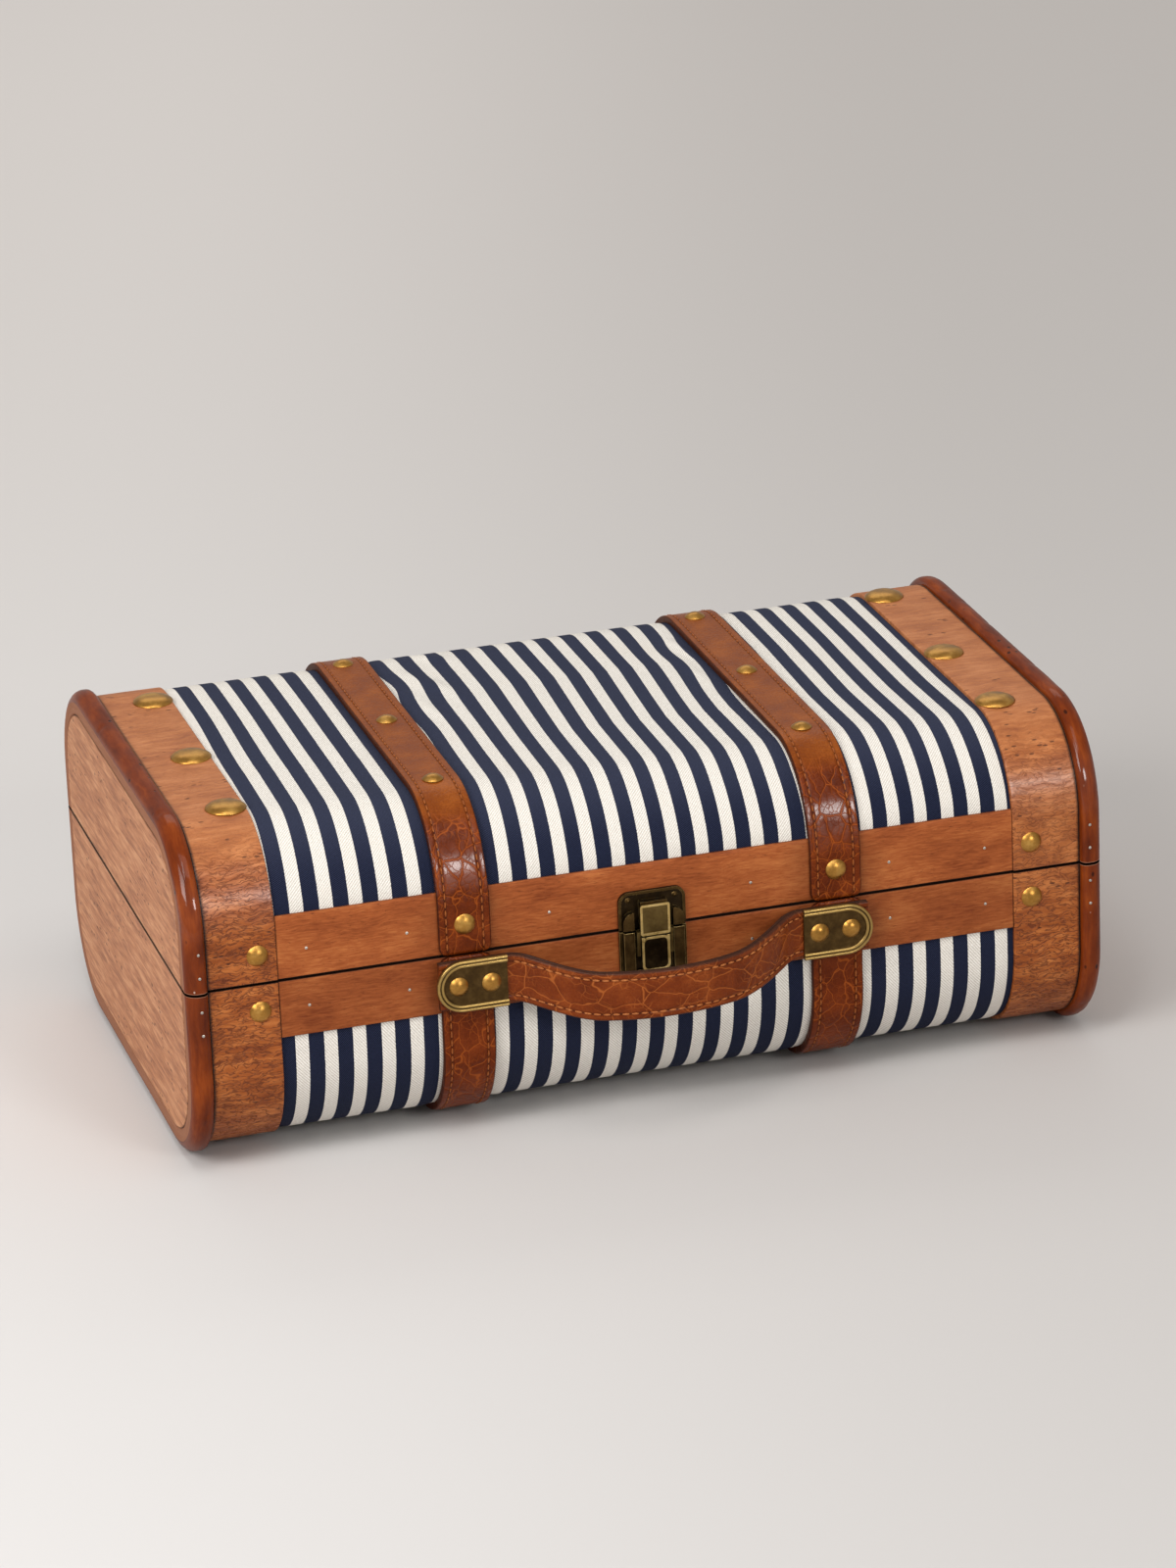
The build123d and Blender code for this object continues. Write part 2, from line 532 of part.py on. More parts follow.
def latch_hasp():
    """The hasp: a square face plate over the catch, with two arms down to its own pins on the lever."""
    hasp = recessed((-HASP_HALF, HASP_HALF), (HASP_BOTTOM, HASP_TOP), HASP_CORNER)
    inner, outer = HASP_ARM_INNER, HASP_ARM_OUTER
    pivot_v, pivot_w = HASP_PIVOT
    depth = (HASP_ARM_LOW, HASP_ARM_HIGH)
    arms = two_sides(HASP_HALF - HASP_ARM_LAP, outer, (HASP_BOTTOM, HASP_WING_TOP), depth)
    arms += two_sides(inner, outer, (pivot_v, HASP_BOTTOM + JOINT_LAP), depth)
    arms += two_sides(inner, outer, (pivot_v - PIVOT_EYE, pivot_v + PIVOT_EYE), (pivot_w, HASP_ARM_HIGH))
    arms += pivot_rounds(HASP_PIVOT, PIVOT_EYE, inner, outer)
    bore = LATCH_PIN_RADIUS + LATCH_PIN_CLEARANCE
    turning = pivot_rounds(HASP_PIVOT, bore, inner - CUT_PAST, outer + CUT_PAST)
    return hasp + arms - turning


def hinge_leaf(side, half):
    """One leaf of a butt hinge: a plate on the band, webs out to the axis, and its knuckles."""
    way = 1 if half == "lid" else -1
    face_y = HALF_DEPTH - BAND_FACE
    centre = side * HINGE_CENTRE
    width = HINGE_WIDTH
    knuckle = width / 3
    outline = RectangleRounded(width, LEAF_OUTER - LEAF_INNER, LEAF_CORNER)
    middle = SEAM_HEIGHT + way * (LEAF_OUTER + LEAF_INNER) / 2
    plane = Plane(origin=(centre, face_y, middle), x_dir=(-1, 0, 0), z_dir=BACK)
    leaf = extrude(plane * outline, LEAF_THICKNESS)
    out = HINGE_AXIS_Y - face_y
    near, far = WEB_TOUCH
    starts = (-knuckle / 2,) if half == "lid" else (-width / 2, knuckle / 2)
    for start in starts:
        first = max(start + KNUCKLE_GAP / 2, -width / 2)
        last = min(start + knuckle - KNUCKLE_GAP / 2, width / 2)
        profile = [(-out, LEAF_INNER), (-out, WEB_FOOT), (-out + LEAF_THICKNESS, WEB_FOOT),
                   (-near * BARREL_RADIUS, far * BARREL_RADIUS), (-far * BARREL_RADIUS, near * BARREL_RADIUS)]
        points = [(HINGE_AXIS_Y + y, SEAM_HEIGHT + way * z) for y, z in profile]
        face = make_face(Polyline(*points, close=True))
        web = extrude(Plane.YZ.offset(centre + first) * face, last - first)
        barrel = Pos(centre + (first + last) / 2, HINGE_AXIS_Y, SEAM_HEIGHT) * Rot(0, 90, 0) * Cylinder(
            BARREL_RADIUS, last - first)
        leaf = leaf + web + barrel
    clearance = HINGE_PIN_CLEARANCE if half == "lid" else 0.0
    bore = Pos(centre, HINGE_AXIS_Y, SEAM_HEIGHT) * Rot(0, 90, 0) * Cylinder(
        HINGE_PIN_RADIUS + clearance, 2 * width)
    return leaf - bore - holes(f"hinge_{half}_screws")


def hinge_pin(side):
    """The pin of one hinge, with a low head at each end."""
    centre = Pos(side * HINGE_CENTRE, HINGE_AXIS_Y, SEAM_HEIGHT) * Rot(0, 90, 0)
    pin = centre * Cylinder(HINGE_PIN_RADIUS, HINGE_WIDTH)
    for end in (-1, 1):
        place = Pos(0, 0, end * (HINGE_WIDTH + HINGE_PIN_HEAD) / 2)
        pin = pin + centre * place * Cylinder(HINGE_PIN_HEAD_RADIUS, HINGE_PIN_HEAD)
    return pin


def write(name, shape):
    """Write one node, moved so that the origin is under the middle of the bounding box."""
    export_step(Pos(0, ORIGIN_SHIFT, 0) * shape, f"parts/{name}.step")


def main():
    os.makedirs("parts", exist_ok=True)
    for half in ("lid", "base"):
        write(f"{half}_shell", shell(half))
        write(f"{half}_lining", lining(half))
        write(f"{half}_fabric", fabric(half))
        for side, name in ((-1, "front"), (1, "back")):
            write(f"{half}_band_{name}", band(half, side))
        for side, name in ((-1, "left"), (1, "right")):
            write(f"{half}_end_board_{name}", end_board(side, half))
            write(f"{half}_end_trim_{name}", end_trim(side, half))
            write(f"{half}_end_strip_{name}", end_strip(side, half))
            write(f"{half}_strap_{name}", strap(side, half))
            write(f"hinge_{half}_leaf_{name}", hinge_leaf(side, half))
    for side, name in ((-1, "left"), (1, "right")):
        write(f"hinge_pin_{name}", hinge_pin(side))
        write(f"handle_plate_{name}", handle_plate(side))
    write("handle_backing", handle_layer(0.0, HANDLE_BACKING_THICKNESS))
    write("handle_face", handle_layer(HANDLE_BACKING_THICKNESS, HANDLE_THICKNESS))
    write("latch_catch_plate", latch_catch_plate())
    write("latch_base_plate", latch_base_plate())
    write("latch_lever", latch_lever())
    write("latch_hasp", latch_hasp())
    write("latch_lever_pins", Compound(
        children=pivot_rounds(LEVER_PIVOT, LATCH_PIN_RADIUS, LATCH_PIN_INNER, LATCH_PIN_OUTER)))
    write("latch_hasp_pins", Compound(
        children=pivot_rounds(HASP_PIVOT, LATCH_PIN_RADIUS, LATCH_PIN_INNER, HASP_ARM_OUTER)))
    for name, (kind, planes) in NAIL_GROUPS.items():
        write(name, Compound(children=[plane * domed_nail(*kind) for plane in planes]))


if __name__ == "__main__":
    main()
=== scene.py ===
# %% [markdown]
# A small suitcase box in wood, striped cloth, leather and brass. The packed CAD model is the fixed
# frame of this scene: it says where every piece is and how it moves. This lesson dresses it. Most
# pieces are worked out with numpy as one surface: a cross-section that is carried along the rounded
# outline of the case. That way the same few sizes place the wood, the cloth and the leather.
# %% Load the frame
import json
import math

import bmesh
import bpy
import numpy as np
from mathutils import Matrix, Vector

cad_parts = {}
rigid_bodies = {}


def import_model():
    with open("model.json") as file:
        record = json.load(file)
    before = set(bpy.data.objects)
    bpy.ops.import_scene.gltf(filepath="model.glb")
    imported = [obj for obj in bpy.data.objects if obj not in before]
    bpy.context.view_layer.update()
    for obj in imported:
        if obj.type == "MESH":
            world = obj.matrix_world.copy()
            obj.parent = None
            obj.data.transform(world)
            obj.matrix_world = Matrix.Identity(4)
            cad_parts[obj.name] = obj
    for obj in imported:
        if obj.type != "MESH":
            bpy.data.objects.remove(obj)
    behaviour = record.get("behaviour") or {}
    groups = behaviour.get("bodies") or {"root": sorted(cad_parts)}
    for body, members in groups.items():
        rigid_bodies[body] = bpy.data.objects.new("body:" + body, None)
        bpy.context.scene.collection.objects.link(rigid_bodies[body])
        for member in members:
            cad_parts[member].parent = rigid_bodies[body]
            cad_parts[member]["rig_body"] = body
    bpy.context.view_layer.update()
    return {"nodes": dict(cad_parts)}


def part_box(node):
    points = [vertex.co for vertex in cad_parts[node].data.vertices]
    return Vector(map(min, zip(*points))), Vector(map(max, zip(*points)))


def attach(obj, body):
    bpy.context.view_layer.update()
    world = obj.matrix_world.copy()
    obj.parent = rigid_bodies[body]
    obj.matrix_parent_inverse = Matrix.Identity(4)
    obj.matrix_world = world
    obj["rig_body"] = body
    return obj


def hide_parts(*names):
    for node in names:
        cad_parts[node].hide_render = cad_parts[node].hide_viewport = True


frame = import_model()
MM = 0.001
trim_low, trim_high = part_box("lid_end_trim_left")
MIDDLE_Y = (trim_low.y + trim_high.y) / 2 / MM
print(f"{len(frame['nodes'])} nodes, middle of the case at y = {MIDDLE_Y:.1f} mm")

# %% [markdown]
# The case is a rounded rectangle seen from its end, 206 mm deep and 130 mm high with corners of 39
# mm. Every layer of its wall is the same outline drawn in by some inset, and the corner centres
# stay where they are. So a point of any layer is a point of the inner core rectangle plus (39 -
# inset) along the outward direction. Lengths are counted from the seam on the front, over the top
# or the bottom, to the seam on the back.
# %% Sizes of the case, in millimetres
CASE_DEPTH, CASE_HEIGHT, CORNER = 206.0, 130.0, 39.0
HALF_LENGTH, TRIM_INNER_X, STRIP_INNER_X = 173.0, 165.0, 139.0
SEAM, SEAM_GAP = 73.5, 0.9
# How deep the face of each layer lies inside the outline. The last is the back of the thin layers,
# which sinks a little into the shell.
STRAP_FACE, STRIP_FACE, BAND_FACE, FABRIC_FACE, BACK_FACE = 1.6, 3.0, 3.4, 4.2, 4.95
TRIM_DEPTH = 9.0
STRAP_X, STRAP_HALF = 70.0, 9.7
BAND_TOP, BAND_BOTTOM = 98.0, 51.3
HALVES = (("lid", 1), ("base", -1))
SIDES, WALLS = {-1: "left", 1: "right"}, {-1: "front", 1: "back"}

# %% [markdown]
# The outline of each half is the road that every layer follows. It could be a curve object, but
# then each layer would need a curve of its own. As a small table of knots with straight lines
# between their numbers it serves all layers, because only the inset differs.
# %% The outline as a route
def route(half):
    """Knots of the line from the front seam to the back seam: length, core y, core z, outward angle."""
    core_y, quarter = CASE_DEPTH / 2 - CORNER, CORNER * math.pi / 2
    way = 1 if half == "lid" else -1
    start = SEAM + way * SEAM_GAP / 2
    level = CASE_HEIGHT - CORNER if half == "lid" else CORNER
    steps = [abs(level - start), quarter, 2 * core_y, quarter, abs(level - start)]
    lengths = np.concatenate([[0.0], np.cumsum(steps)])
    ys = [-core_y] * 3 + [core_y] * 3
    zs = [start, level, level, level, level, start]
    turns = [180, 180, 90, 90, 0, 0] if half == "lid" else [180, 180, 270, 270, 360, 360]
    return lengths, np.array(ys), np.array(zs), np.radians(turns)


ROUTES = {half: route(half) for half, way in HALVES}
LENGTH = {half: ROUTES[half][0][-1] for half in ROUTES}


def spread(*parts):
    """Arrays of different shapes, spread over one grid and set side by side as coordinates."""
    return np.stack(np.broadcast_arrays(*parts), -1)


def wrapped(half, s, x, inset):
    """Points of a layer: the core point at length s plus (corner - inset) along its outward
    direction."""
    lengths, ys, zs, turns = ROUTES[half]
    turn = np.interp(s, lengths, turns)
    out = CORNER - inset
    y = np.interp(s, lengths, ys) + out * np.cos(turn)
    z = np.interp(s, lengths, zs) + out * np.sin(turn)
    return spread(x, y, z)


def stations(half, start, stop, step=2.0):
    """Lengths along a half's route, about a step apart, with the knots among them."""
    knots = ROUTES[half][0]
    inside = knots[(knots > start) & (knots < stop)]
    every = np.linspace(start, stop, int(math.ceil((stop - start) / step)) + 1)
    gap = np.abs(every[:, None] - inside[None, :]).min(1, initial=step)
    far = gap > step * 0.3
    far[[0, -1]] = True
    return np.sort(np.concatenate([every[far], inside]))


def band_reach(half, inset=BAND_FACE):
    """The length from the seam at which the wooden band ends."""
    if half == "base":
        return ROUTES["base"][2][0] - BAND_BOTTOM
    straight = ROUTES["lid"][0][1]
    return straight + CORNER * math.asin((BAND_TOP - CASE_HEIGHT + CORNER) / (CORNER - inset))


print("route lengths", {half: round(float(v), 1) for half, v in LENGTH.items()})
print("the lid's band ends", round(band_reach("lid"), 2), "mm from the seam")

# %% [markdown]
# A skin gathers points and faces as whole arrays and puts them into one mesh. A closed part turns
# its own faces outward, by the sign of the volume that they enclose. Each point also has a place
# "lay" on the flat material (how far across and along, in metres), which cloth, leather and bent
# wood use for their pattern. It also has a number "worn", which brass uses for its rubbed edges,
# and wood and leather use for the edges that are darker or bare.
# %% Skins: arrays to meshes
SAME_POINT = 1e-6   # metres


def grid_faces(rows, cols, closed=False):
    """Quads between the rows and columns of a grid. A closed grid joins its last column to its
    first."""
    i = np.arange(rows - 1)[:, None]
    j = np.arange(cols if closed else cols - 1)[None, :]
    k = (j + 1) % cols
    corners = [i * cols + j, i * cols + k, (i + 1) * cols + k, (i + 1) * cols + j]
    return spread(*corners).reshape(-1, 4)


def volume_sign(points, faces):
    """The sign of the enclosed volume: the sum over each face's triangles of a . (b x c)."""
    total = 0.0
    for group in faces:
        a = points[group[:, 0]]
        for n in range(1, group.shape[1] - 1):
            b, c = points[group[:, n]], points[group[:, n + 1]]
            total += np.einsum("ij,ij->i", a, np.cross(b, c)).sum()
    return -1 if total < 0 else 1


class Skin:
    """The parts of one piece, in millimetres in the case's own frame."""

    def __init__(self):
        self.points, self.lay, self.worn, self.loops, self.sizes, self.count = [], [], [], [], [], 0

    def add(self, points, faces, lay=None, worn=0.0):
        """Add one closed part: points (n, 3) and a list of face arrays (k, corners)."""
        points = np.asarray(points, float).reshape(-1, 3)
        centred = points - points.mean(0)
        if volume_sign(centred, faces) < 0:
            faces = [group[:, ::-1] for group in faces]
        n = len(points)
        self.points.append(points)
        self.lay.append(points[:, [0, 2]] if lay is None else np.asarray(lay, float).reshape(n, 2))
        worn = np.asarray(worn, float)
        self.worn.append(worn.reshape(n) if worn.ndim == 2 else np.broadcast_to(worn, (n,)))
        for group in faces:
            self.loops.append((group + self.count).ravel())
            self.sizes.append(np.full(len(group), group.shape[1]))
        self.count += n

    def add_sweep(self, points, lay=None, worn=0.0):
        """A closed cross-section carried along a path: points (rows, columns, 3), capped at both
        ends."""
        rows, cols = points.shape[:2]
        first = np.arange(cols)[::-1][None, :]
        last = np.arange(cols)[None, :] + (rows - 1) * cols
        self.add(points, [grid_faces(rows, cols, True), first, last], lay, worn)

    def piece(self, name, finish, body, slot, replaces=(), crease=40.0, weld=False):
        """Make the mesh object, give it its finish and set it on its body."""
        points = (np.concatenate(self.points) + (0.0, MIDDLE_Y, 0.0)) * MM
        loops, sizes = np.concatenate(self.loops), np.concatenate(self.sizes)
        mesh = bpy.data.meshes.new(name)
        mesh.vertices.add(len(points))
        mesh.vertices.foreach_set("co", points.ravel())
        mesh.loops.add(len(loops))
        mesh.loops.foreach_set("vertex_index", loops)
        mesh.polygons.add(len(sizes))
        mesh.polygons.foreach_set("loop_start", np.concatenate([[0], np.cumsum(sizes)[:-1]]))
        mesh.update(calc_edges=True)
        lay = np.concatenate(self.lay) * MM
        mesh.uv_layers.new(name="lay").data.foreach_set("uv", lay[loops].ravel())
        worn = mesh.attributes.new("worn", "FLOAT", "POINT")
        worn.data.foreach_set("value", np.concatenate(self.worn))
        if weld:
            merged = bmesh.new()
            merged.from_mesh(mesh)
            bmesh.ops.remove_doubles(merged, verts=merged.verts, dist=SAME_POINT)
            merged.to_mesh(mesh)
            merged.free()
        return dress(name, mesh, finish, body, replaces, crease)


print("a grid of 3 by 4 points has", len(grid_faces(3, 4)), "faces")

# %% [markdown]
# Every new piece ends in the same way: it is smoothed, given its finish, set on the body that it
# moves with, and the CAD nodes that it stands for are hidden. Handmade things also need slight
# unevenness. A sum of a few sine waves gives it without any picture, and the same seed always gives
# the same waves.
# %% Objects, ripples and soft steps
def dress(name, mesh, finish, body, replaces=(), crease=40.0):
    """An object for a mesh: smooth but for its creases, with its finish, and riding on a body."""
    mesh.polygons.foreach_set("use_smooth", np.ones(len(mesh.polygons), bool))
    mesh.set_sharp_from_angle(angle=math.radians(crease))
    for one in finish if isinstance(finish, (list, tuple)) else [finish]:
        mesh.materials.append(one)
    made = bpy.data.objects.new(name, mesh)
    bpy.context.scene.collection.objects.link(made)
    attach(made, body)
    if replaces:
        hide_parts(*replaces)
    print(f"{name}: {len(mesh.vertices)} points, {len(mesh.polygons)} faces")
    return made


def ripple(a, b, seed, waves=5):
    """A smooth uneven field from -1 to 1: the mean of a few sine waves, at angles set by the seed."""
    draw = np.random.default_rng(seed)
    total = 0.0
    for _ in range(waves):
        turn, pace = draw.uniform(0, math.pi), draw.uniform(0.6, 1.7)
        shift = draw.uniform(0, 2 * math.pi)
        total = total + np.sin(pace * (a * math.cos(turn) + b * math.sin(turn)) + shift)
    return total / waves


def smooth(low, high, value):
    """0 below low, 1 above high, and an even S between them: t^2 (3 - 2t)."""
    t = np.clip((value - low) / (high - low), 0.0, 1.0)
    return t * t * (3.0 - 2.0 * t)


print("half way up a soft step:", smooth(0.0, 1.0, 0.5))

# %% [markdown]
# Finishes are node trees. Writing node maths by hand is long, so a small class wraps a socket and
# overloads the arithmetic operators: an expression on wires adds the Math nodes for it. Everything
# else comes from one method that takes a node's type, its settings and what goes into its sockets.
# %% Node trees as expressions
def tone(code):
    """A colour written as six hexadecimal digits, turned to the linear values that nodes use."""
    parts = [int(code[i:i + 2], 16) / 255 for i in (0, 2, 4)]
    return tuple(p / 12.92 if p <= 0.04045 else ((p + 0.055) / 1.055) ** 2.4 for p in parts) + (1.0,)


class Wire:
    """One output socket. Arithmetic on wires and numbers adds Math nodes, also with the number
    first."""

    def __init__(self, paint, socket):
        self.paint, self.socket = paint, socket

    def math(self, operation, *others):
        return self.paint.node("Math", {"operation": operation}, dict(enumerate((self, *others))))

    def flipped(self, operation, other):
        return self.paint.node("Math", {"operation": operation}, {0: other, 1: self})

    def __add__(self, other): return self.math("ADD", other)
    def __radd__(self, other): return self.flipped("ADD", other)
    def __sub__(self, other): return self.math("SUBTRACT", other)
    def __rsub__(self, other): return self.flipped("SUBTRACT", other)
    def __mul__(self, other): return self.math("MULTIPLY", other)
    def __rmul__(self, other): return self.flipped("MULTIPLY", other)
    def __abs__(self): return self.math("ABSOLUTE")

    def between(self, low, high):
        """0 below low and 1 above high, with an even S between them."""
        settings = {"interpolation_type": "SMOOTHSTEP"}
        return self.paint.node("MapRange", settings, {"Value": self, "From Min": low, "From Max": high})


print("middle grey as nodes see it:", round(tone("808080")[0], 3))

# %% [markdown]
# A finish is one Principled shader with nodes in front of it. This class adds a node, sets it and
# links it in one call, and has short methods for the few nodes that the finishes use again and
# again.
# %% A finish as a small book of nodes
class Paint:
    """The node tree of one finish."""

    def __init__(self, name):
        self.material = bpy.data.materials.new(name)
        self.material.use_nodes = True
        self.tree = self.material.node_tree
        self.shader = self.tree.nodes["Principled BSDF"]

    def put(self, socket, value):
        """Link a wire to a socket, or set its constant."""
        if isinstance(value, Wire):
            self.tree.links.new(value.socket, socket)
        else:
            socket.default_value = value

    def node(self, kind, settings=None, sockets=None, output=0):
        """Add a node with its settings and the values or links of its sockets. Returns one output."""
        node = self.tree.nodes.new("ShaderNode" + kind)
        for key, value in (settings or {}).items():
            if key == "stops":
                ramp = node.color_ramp
                while len(ramp.elements) < len(value):
                    ramp.elements.new(1.0)
                for stop, (place, colour) in zip(ramp.elements, value):
                    stop.position, stop.color = place, tone(colour)
            else:
                setattr(node, key, value)
        for key, value in (sockets or {}).items():
            self.put(node.inputs[key], value)
        return Wire(self, node.outputs[output])

    def place(self):
        return self.node("TexCoord", output="Object")

    def lay(self):
        return self.node("UVMap", {"uv_map": "lay"})

    def worn(self):
        return self.node("Attribute", {"attribute_name": "worn"}, output="Fac")

    def stretched(self, vector, x, y, z):
        """The vector with each axis multiplied by its own number."""
        return self.node("VectorMath", {"operation": "MULTIPLY"}, {0: vector, 1: (x, y, z)})

    def shifted(self, vector, other, amount):
        """The vector moved by a centred colour or vector, times an amount."""
        centred = self.node("VectorMath", {"operation": "SUBTRACT"}, {0: other, 1: (0.5, 0.5, 0.5)})
        scaled = self.node("VectorMath", {"operation": "SCALE"}, {0: centred, "Scale": amount})
        return self.node("VectorMath", {"operation": "ADD"}, {0: vector, 1: scaled})

    def axis(self, vector, letter):
        return self.node("SeparateXYZ", sockets={0: vector}, output=letter)

    def noise(self, vector, scale, detail=4.0, rough=0.55, warp=0.0, colour=False):
        values = {"Vector": vector, "Scale": scale, "Detail": detail, "Roughness": rough,
                  "Distortion": warp}
        return self.node("TexNoise", sockets=values, output=1 if colour else 0)

    def cells(self, vector, scale, feature="DISTANCE_TO_EDGE"):
        values = {"Vector": vector, "Scale": scale}
        return self.node("TexVoronoi", {"feature": feature}, values, output="Distance")

    def ramp(self, factor, stops):
        return self.node("ValToRGB", {"stops": stops}, {0: factor})

    def mix(self, factor, a, b):
        """Colour a where the factor is 0 and b where it is 1."""
        a, b = (tone(c) if isinstance(c, str) else c for c in (a, b))
        return self.node("Mix", {"data_type": "RGBA"}, {0: factor, 6: a, 7: b}, output=2)

    def bump(self, height, strength, distance):
        values = {"Height": height, "Strength": strength, "Distance": distance}
        return self.node("Bump", sockets=values)

    def finish(self, **values):
        """Set the shader's sockets, named with underscores for spaces, and return the material."""
        for key, value in values.items():
            self.put(self.shader.inputs[key.replace("_", " ")], value)
        return self.material


print("a finish has", len([name for name in vars(Paint) if name[0] != "_"]), "methods")

# %% [markdown]
# The wood is stained reddish brown, and each part of it has a grain of its own. The flat bands have
# fine short strokes along x. The curly veneer of the end strips has short wavy lines: these are the
# places where a stretched noise passes through its middle value. The end boards are paler, with
# strokes and small pores along the depth. The moulding is varnished, so it is deeper in colour and
# glossy, with dark pits and a few pale chips.
# %% Grain, pores and rubbed bends
def strokes(p, where, long, fine, detail=4.0):
    """Fibres: a noise whose features are long along x and fine across it, both given per metre."""
    return p.noise(p.stretched(where, long, fine, fine), 1.0, detail, 0.6, 0.3)


def seam_line(p, near, far):
    """1 at the height of the seam, and 0 from the far distance on, both in metres."""
    return 1 - abs(p.axis(p.place(), "Z") - SEAM * MM).between(near, far)


def thin_lines(p, vector, wide, warp=0.5):
    """1 along the curves where a noise passes its middle value, and 0 elsewhere."""
    return 1 - abs(p.noise(vector, 1.0, 2.0, 0.5, warp) - 0.5).between(0.0, wide)


def specks(p, vector, scale, size, share):
    """1 in small spots, which only a share of the cells have."""
    spot = 1 - p.cells(vector, scale, "F1").between(size * 0.5, size)
    return spot * p.noise(vector, scale * 0.21, 1.0).between(1 - share, 1.03 - share)


def rubbed_bend(p):
    """1 at the height where the case turns from its front to its top, and hands have rubbed it."""
    height = p.axis(p.place(), "Z")
    return height.between(0.090, 0.103) * (1 - height.between(0.108, 0.119))


print("marks for wood:", ", ".join(mark.__name__ for mark in (strokes, thin_lines, specks)))

# %% [markdown]
# The bands are cut from plain wood. Painted shade darkens the whole base band below the seam, and
# the wood beside the straps. The veneer is peeled, so its figure curls. Both could be pictures of
# wood, but noise that is stretched along the grain never repeats and bends with the piece.
# %% Seam bands and veneer
def band_wood():
    p = Paint("stained_band_wood")
    where = p.place()
    bent = p.shifted(where, p.noise(where, 70.0, 2.0, colour=True), 0.003)
    fibre = strokes(p, bent, 170.0, 1500.0)
    cloud = p.noise(p.stretched(where, 30.0, 80.0, 80.0), 1.0, 4.0, 0.6)
    colour = p.ramp(fibre * 0.45 + cloud * 0.55, [(0.32, "743516"), (0.5, "9b5228"), (0.68, "b96f3c")])
    pore = strokes(p, where, 420.0, 2600.0, 2.0).between(0.62, 0.70)
    colour = p.mix(pore * 0.55, colour, "4a1f0c")
    # Painted shade: the base band below the seam, and the wood beside the straps, are mixed toward dark
    # brown.
    low = 1 - p.axis(where, "Z").between((SEAM - 0.5) * MM, (SEAM + 0.5) * MM)
    painted_shade_by_straps = 1 - abs(abs(p.axis(where, "X")) - STRAP_X * MM).between(0.0105, 0.024)
    colour = p.mix(low * 0.22 + painted_shade_by_straps * cloud.between(0.3, 0.6) * 0.35, colour, "4f220c")
    colour = p.mix(p.worn(), colour, "1a0c06")
    normal = p.bump(fibre - pore * 0.6, 0.25, 0.0002)
    return p.finish(Base_Color=colour, Roughness=0.5 + (fibre - 0.5) * 0.2, Normal=normal,
                    Specular_IOR_Level=0.15)


def veneer():
    """Veneer that is plainer on top and painted paler there, as painted sheen. The right strip, between
    45 and 85 mm up, gets half of that paler colour and is a little plainer."""
    p = Paint("curly_veneer")
    flat = p.lay()
    height = p.axis(p.place(), "Z")
    top = height.between(0.108, 0.1262)
    right = p.axis(p.place(), "X").between(0.1, 0.16) * height.between(0.045, 0.085)
    bent = p.shifted(flat, p.noise(flat, 85.0, 3.0, colour=True), 0.007)
    wave = thin_lines(p, p.stretched(bent, 230.0, 760.0, 1.0), 0.07)
    wave = wave * (1 - top * 0.8) * (1 - right * 0.4)
    streak = p.noise(p.stretched(bent, 60.0, 560.0, 1.0), 1.0, 5.0, 0.62)
    cloud = p.noise(p.stretched(flat, 60.0, 110.0, 1.0), 1.0, 3.0, 0.6)
    amount = streak * 0.5 + cloud * 0.5
    front = p.ramp(amount, [(0.36, "793812"), (0.5, "9a5221"), (0.64, "be7239")])
    # Painted sheen: on top the veneer takes this paler ramp; the right strip between 45 and 85 mm up
    # takes half of it.
    above = p.ramp(amount, [(0.30, "8b4d2c"), (0.5, "ab693d"), (0.70, "c48254")])
    colour = p.mix(top.math("MAXIMUM", right * 0.5), front, above)
    colour = p.mix(wave * 0.75, colour, "55240d")
    fleck = specks(p, p.stretched(flat, 0.5, 1.3, 1.0), 420.0, 0.28, 0.42)
    colour = p.mix(fleck * 0.75, colour, "3a180a")
    colour = p.mix(p.worn(), colour, "1a0c06")
    rough = 0.40 + wave * 0.2 + (streak - 0.5) * 0.25 + top * 0.12
    normal = p.bump(streak * 0.8 - wave * 0.9 - fleck * 0.8, 0.5, 0.0004)
    gloss = rubbed_bend(p) * (streak.between(0.35, 0.6) * 0.7 + 0.3) * (1 - wave * 0.5)
    return p.finish(Base_Color=colour, Roughness=rough, Normal=normal, Specular_IOR_Level=0.25,
                    Coat_Weight=gloss, Coat_Roughness=0.27)


BAND_WOOD, STRIP_WOOD = band_wood(), veneer()
print("made", BAND_WOOD.name, STRIP_WOOD.name)

# %% [markdown]
# The end boards lie in a groove of the mouldings, which shows as a thin dark line that follows the
# rounded outline. The line comes from the distance to the outline, worked out from y and z, so it
# needs no extra shape. The plywood shows only as a thin edge and inside.
# %% End boards, mouldings and plywood
def case_inset(p):
    """How far a point lies inside the case's rounded outline, in millimetres: the corner's radius less
    the distance from the core rectangle, which is found from the place across y and z."""
    where = p.place()
    core_y, core_z = (CASE_DEPTH / 2 - CORNER) * MM, (CASE_HEIGHT / 2 - CORNER) * MM
    across = (abs(p.axis(where, "Y") - MIDDLE_Y * MM) - core_y).math("MAXIMUM", 0.0)
    upward = (abs(p.axis(where, "Z") - CASE_HEIGHT / 2 * MM) - core_z).math("MAXIMUM", 0.0)
    return CORNER - (across * across + upward * upward).math("SQRT") * 1000.0


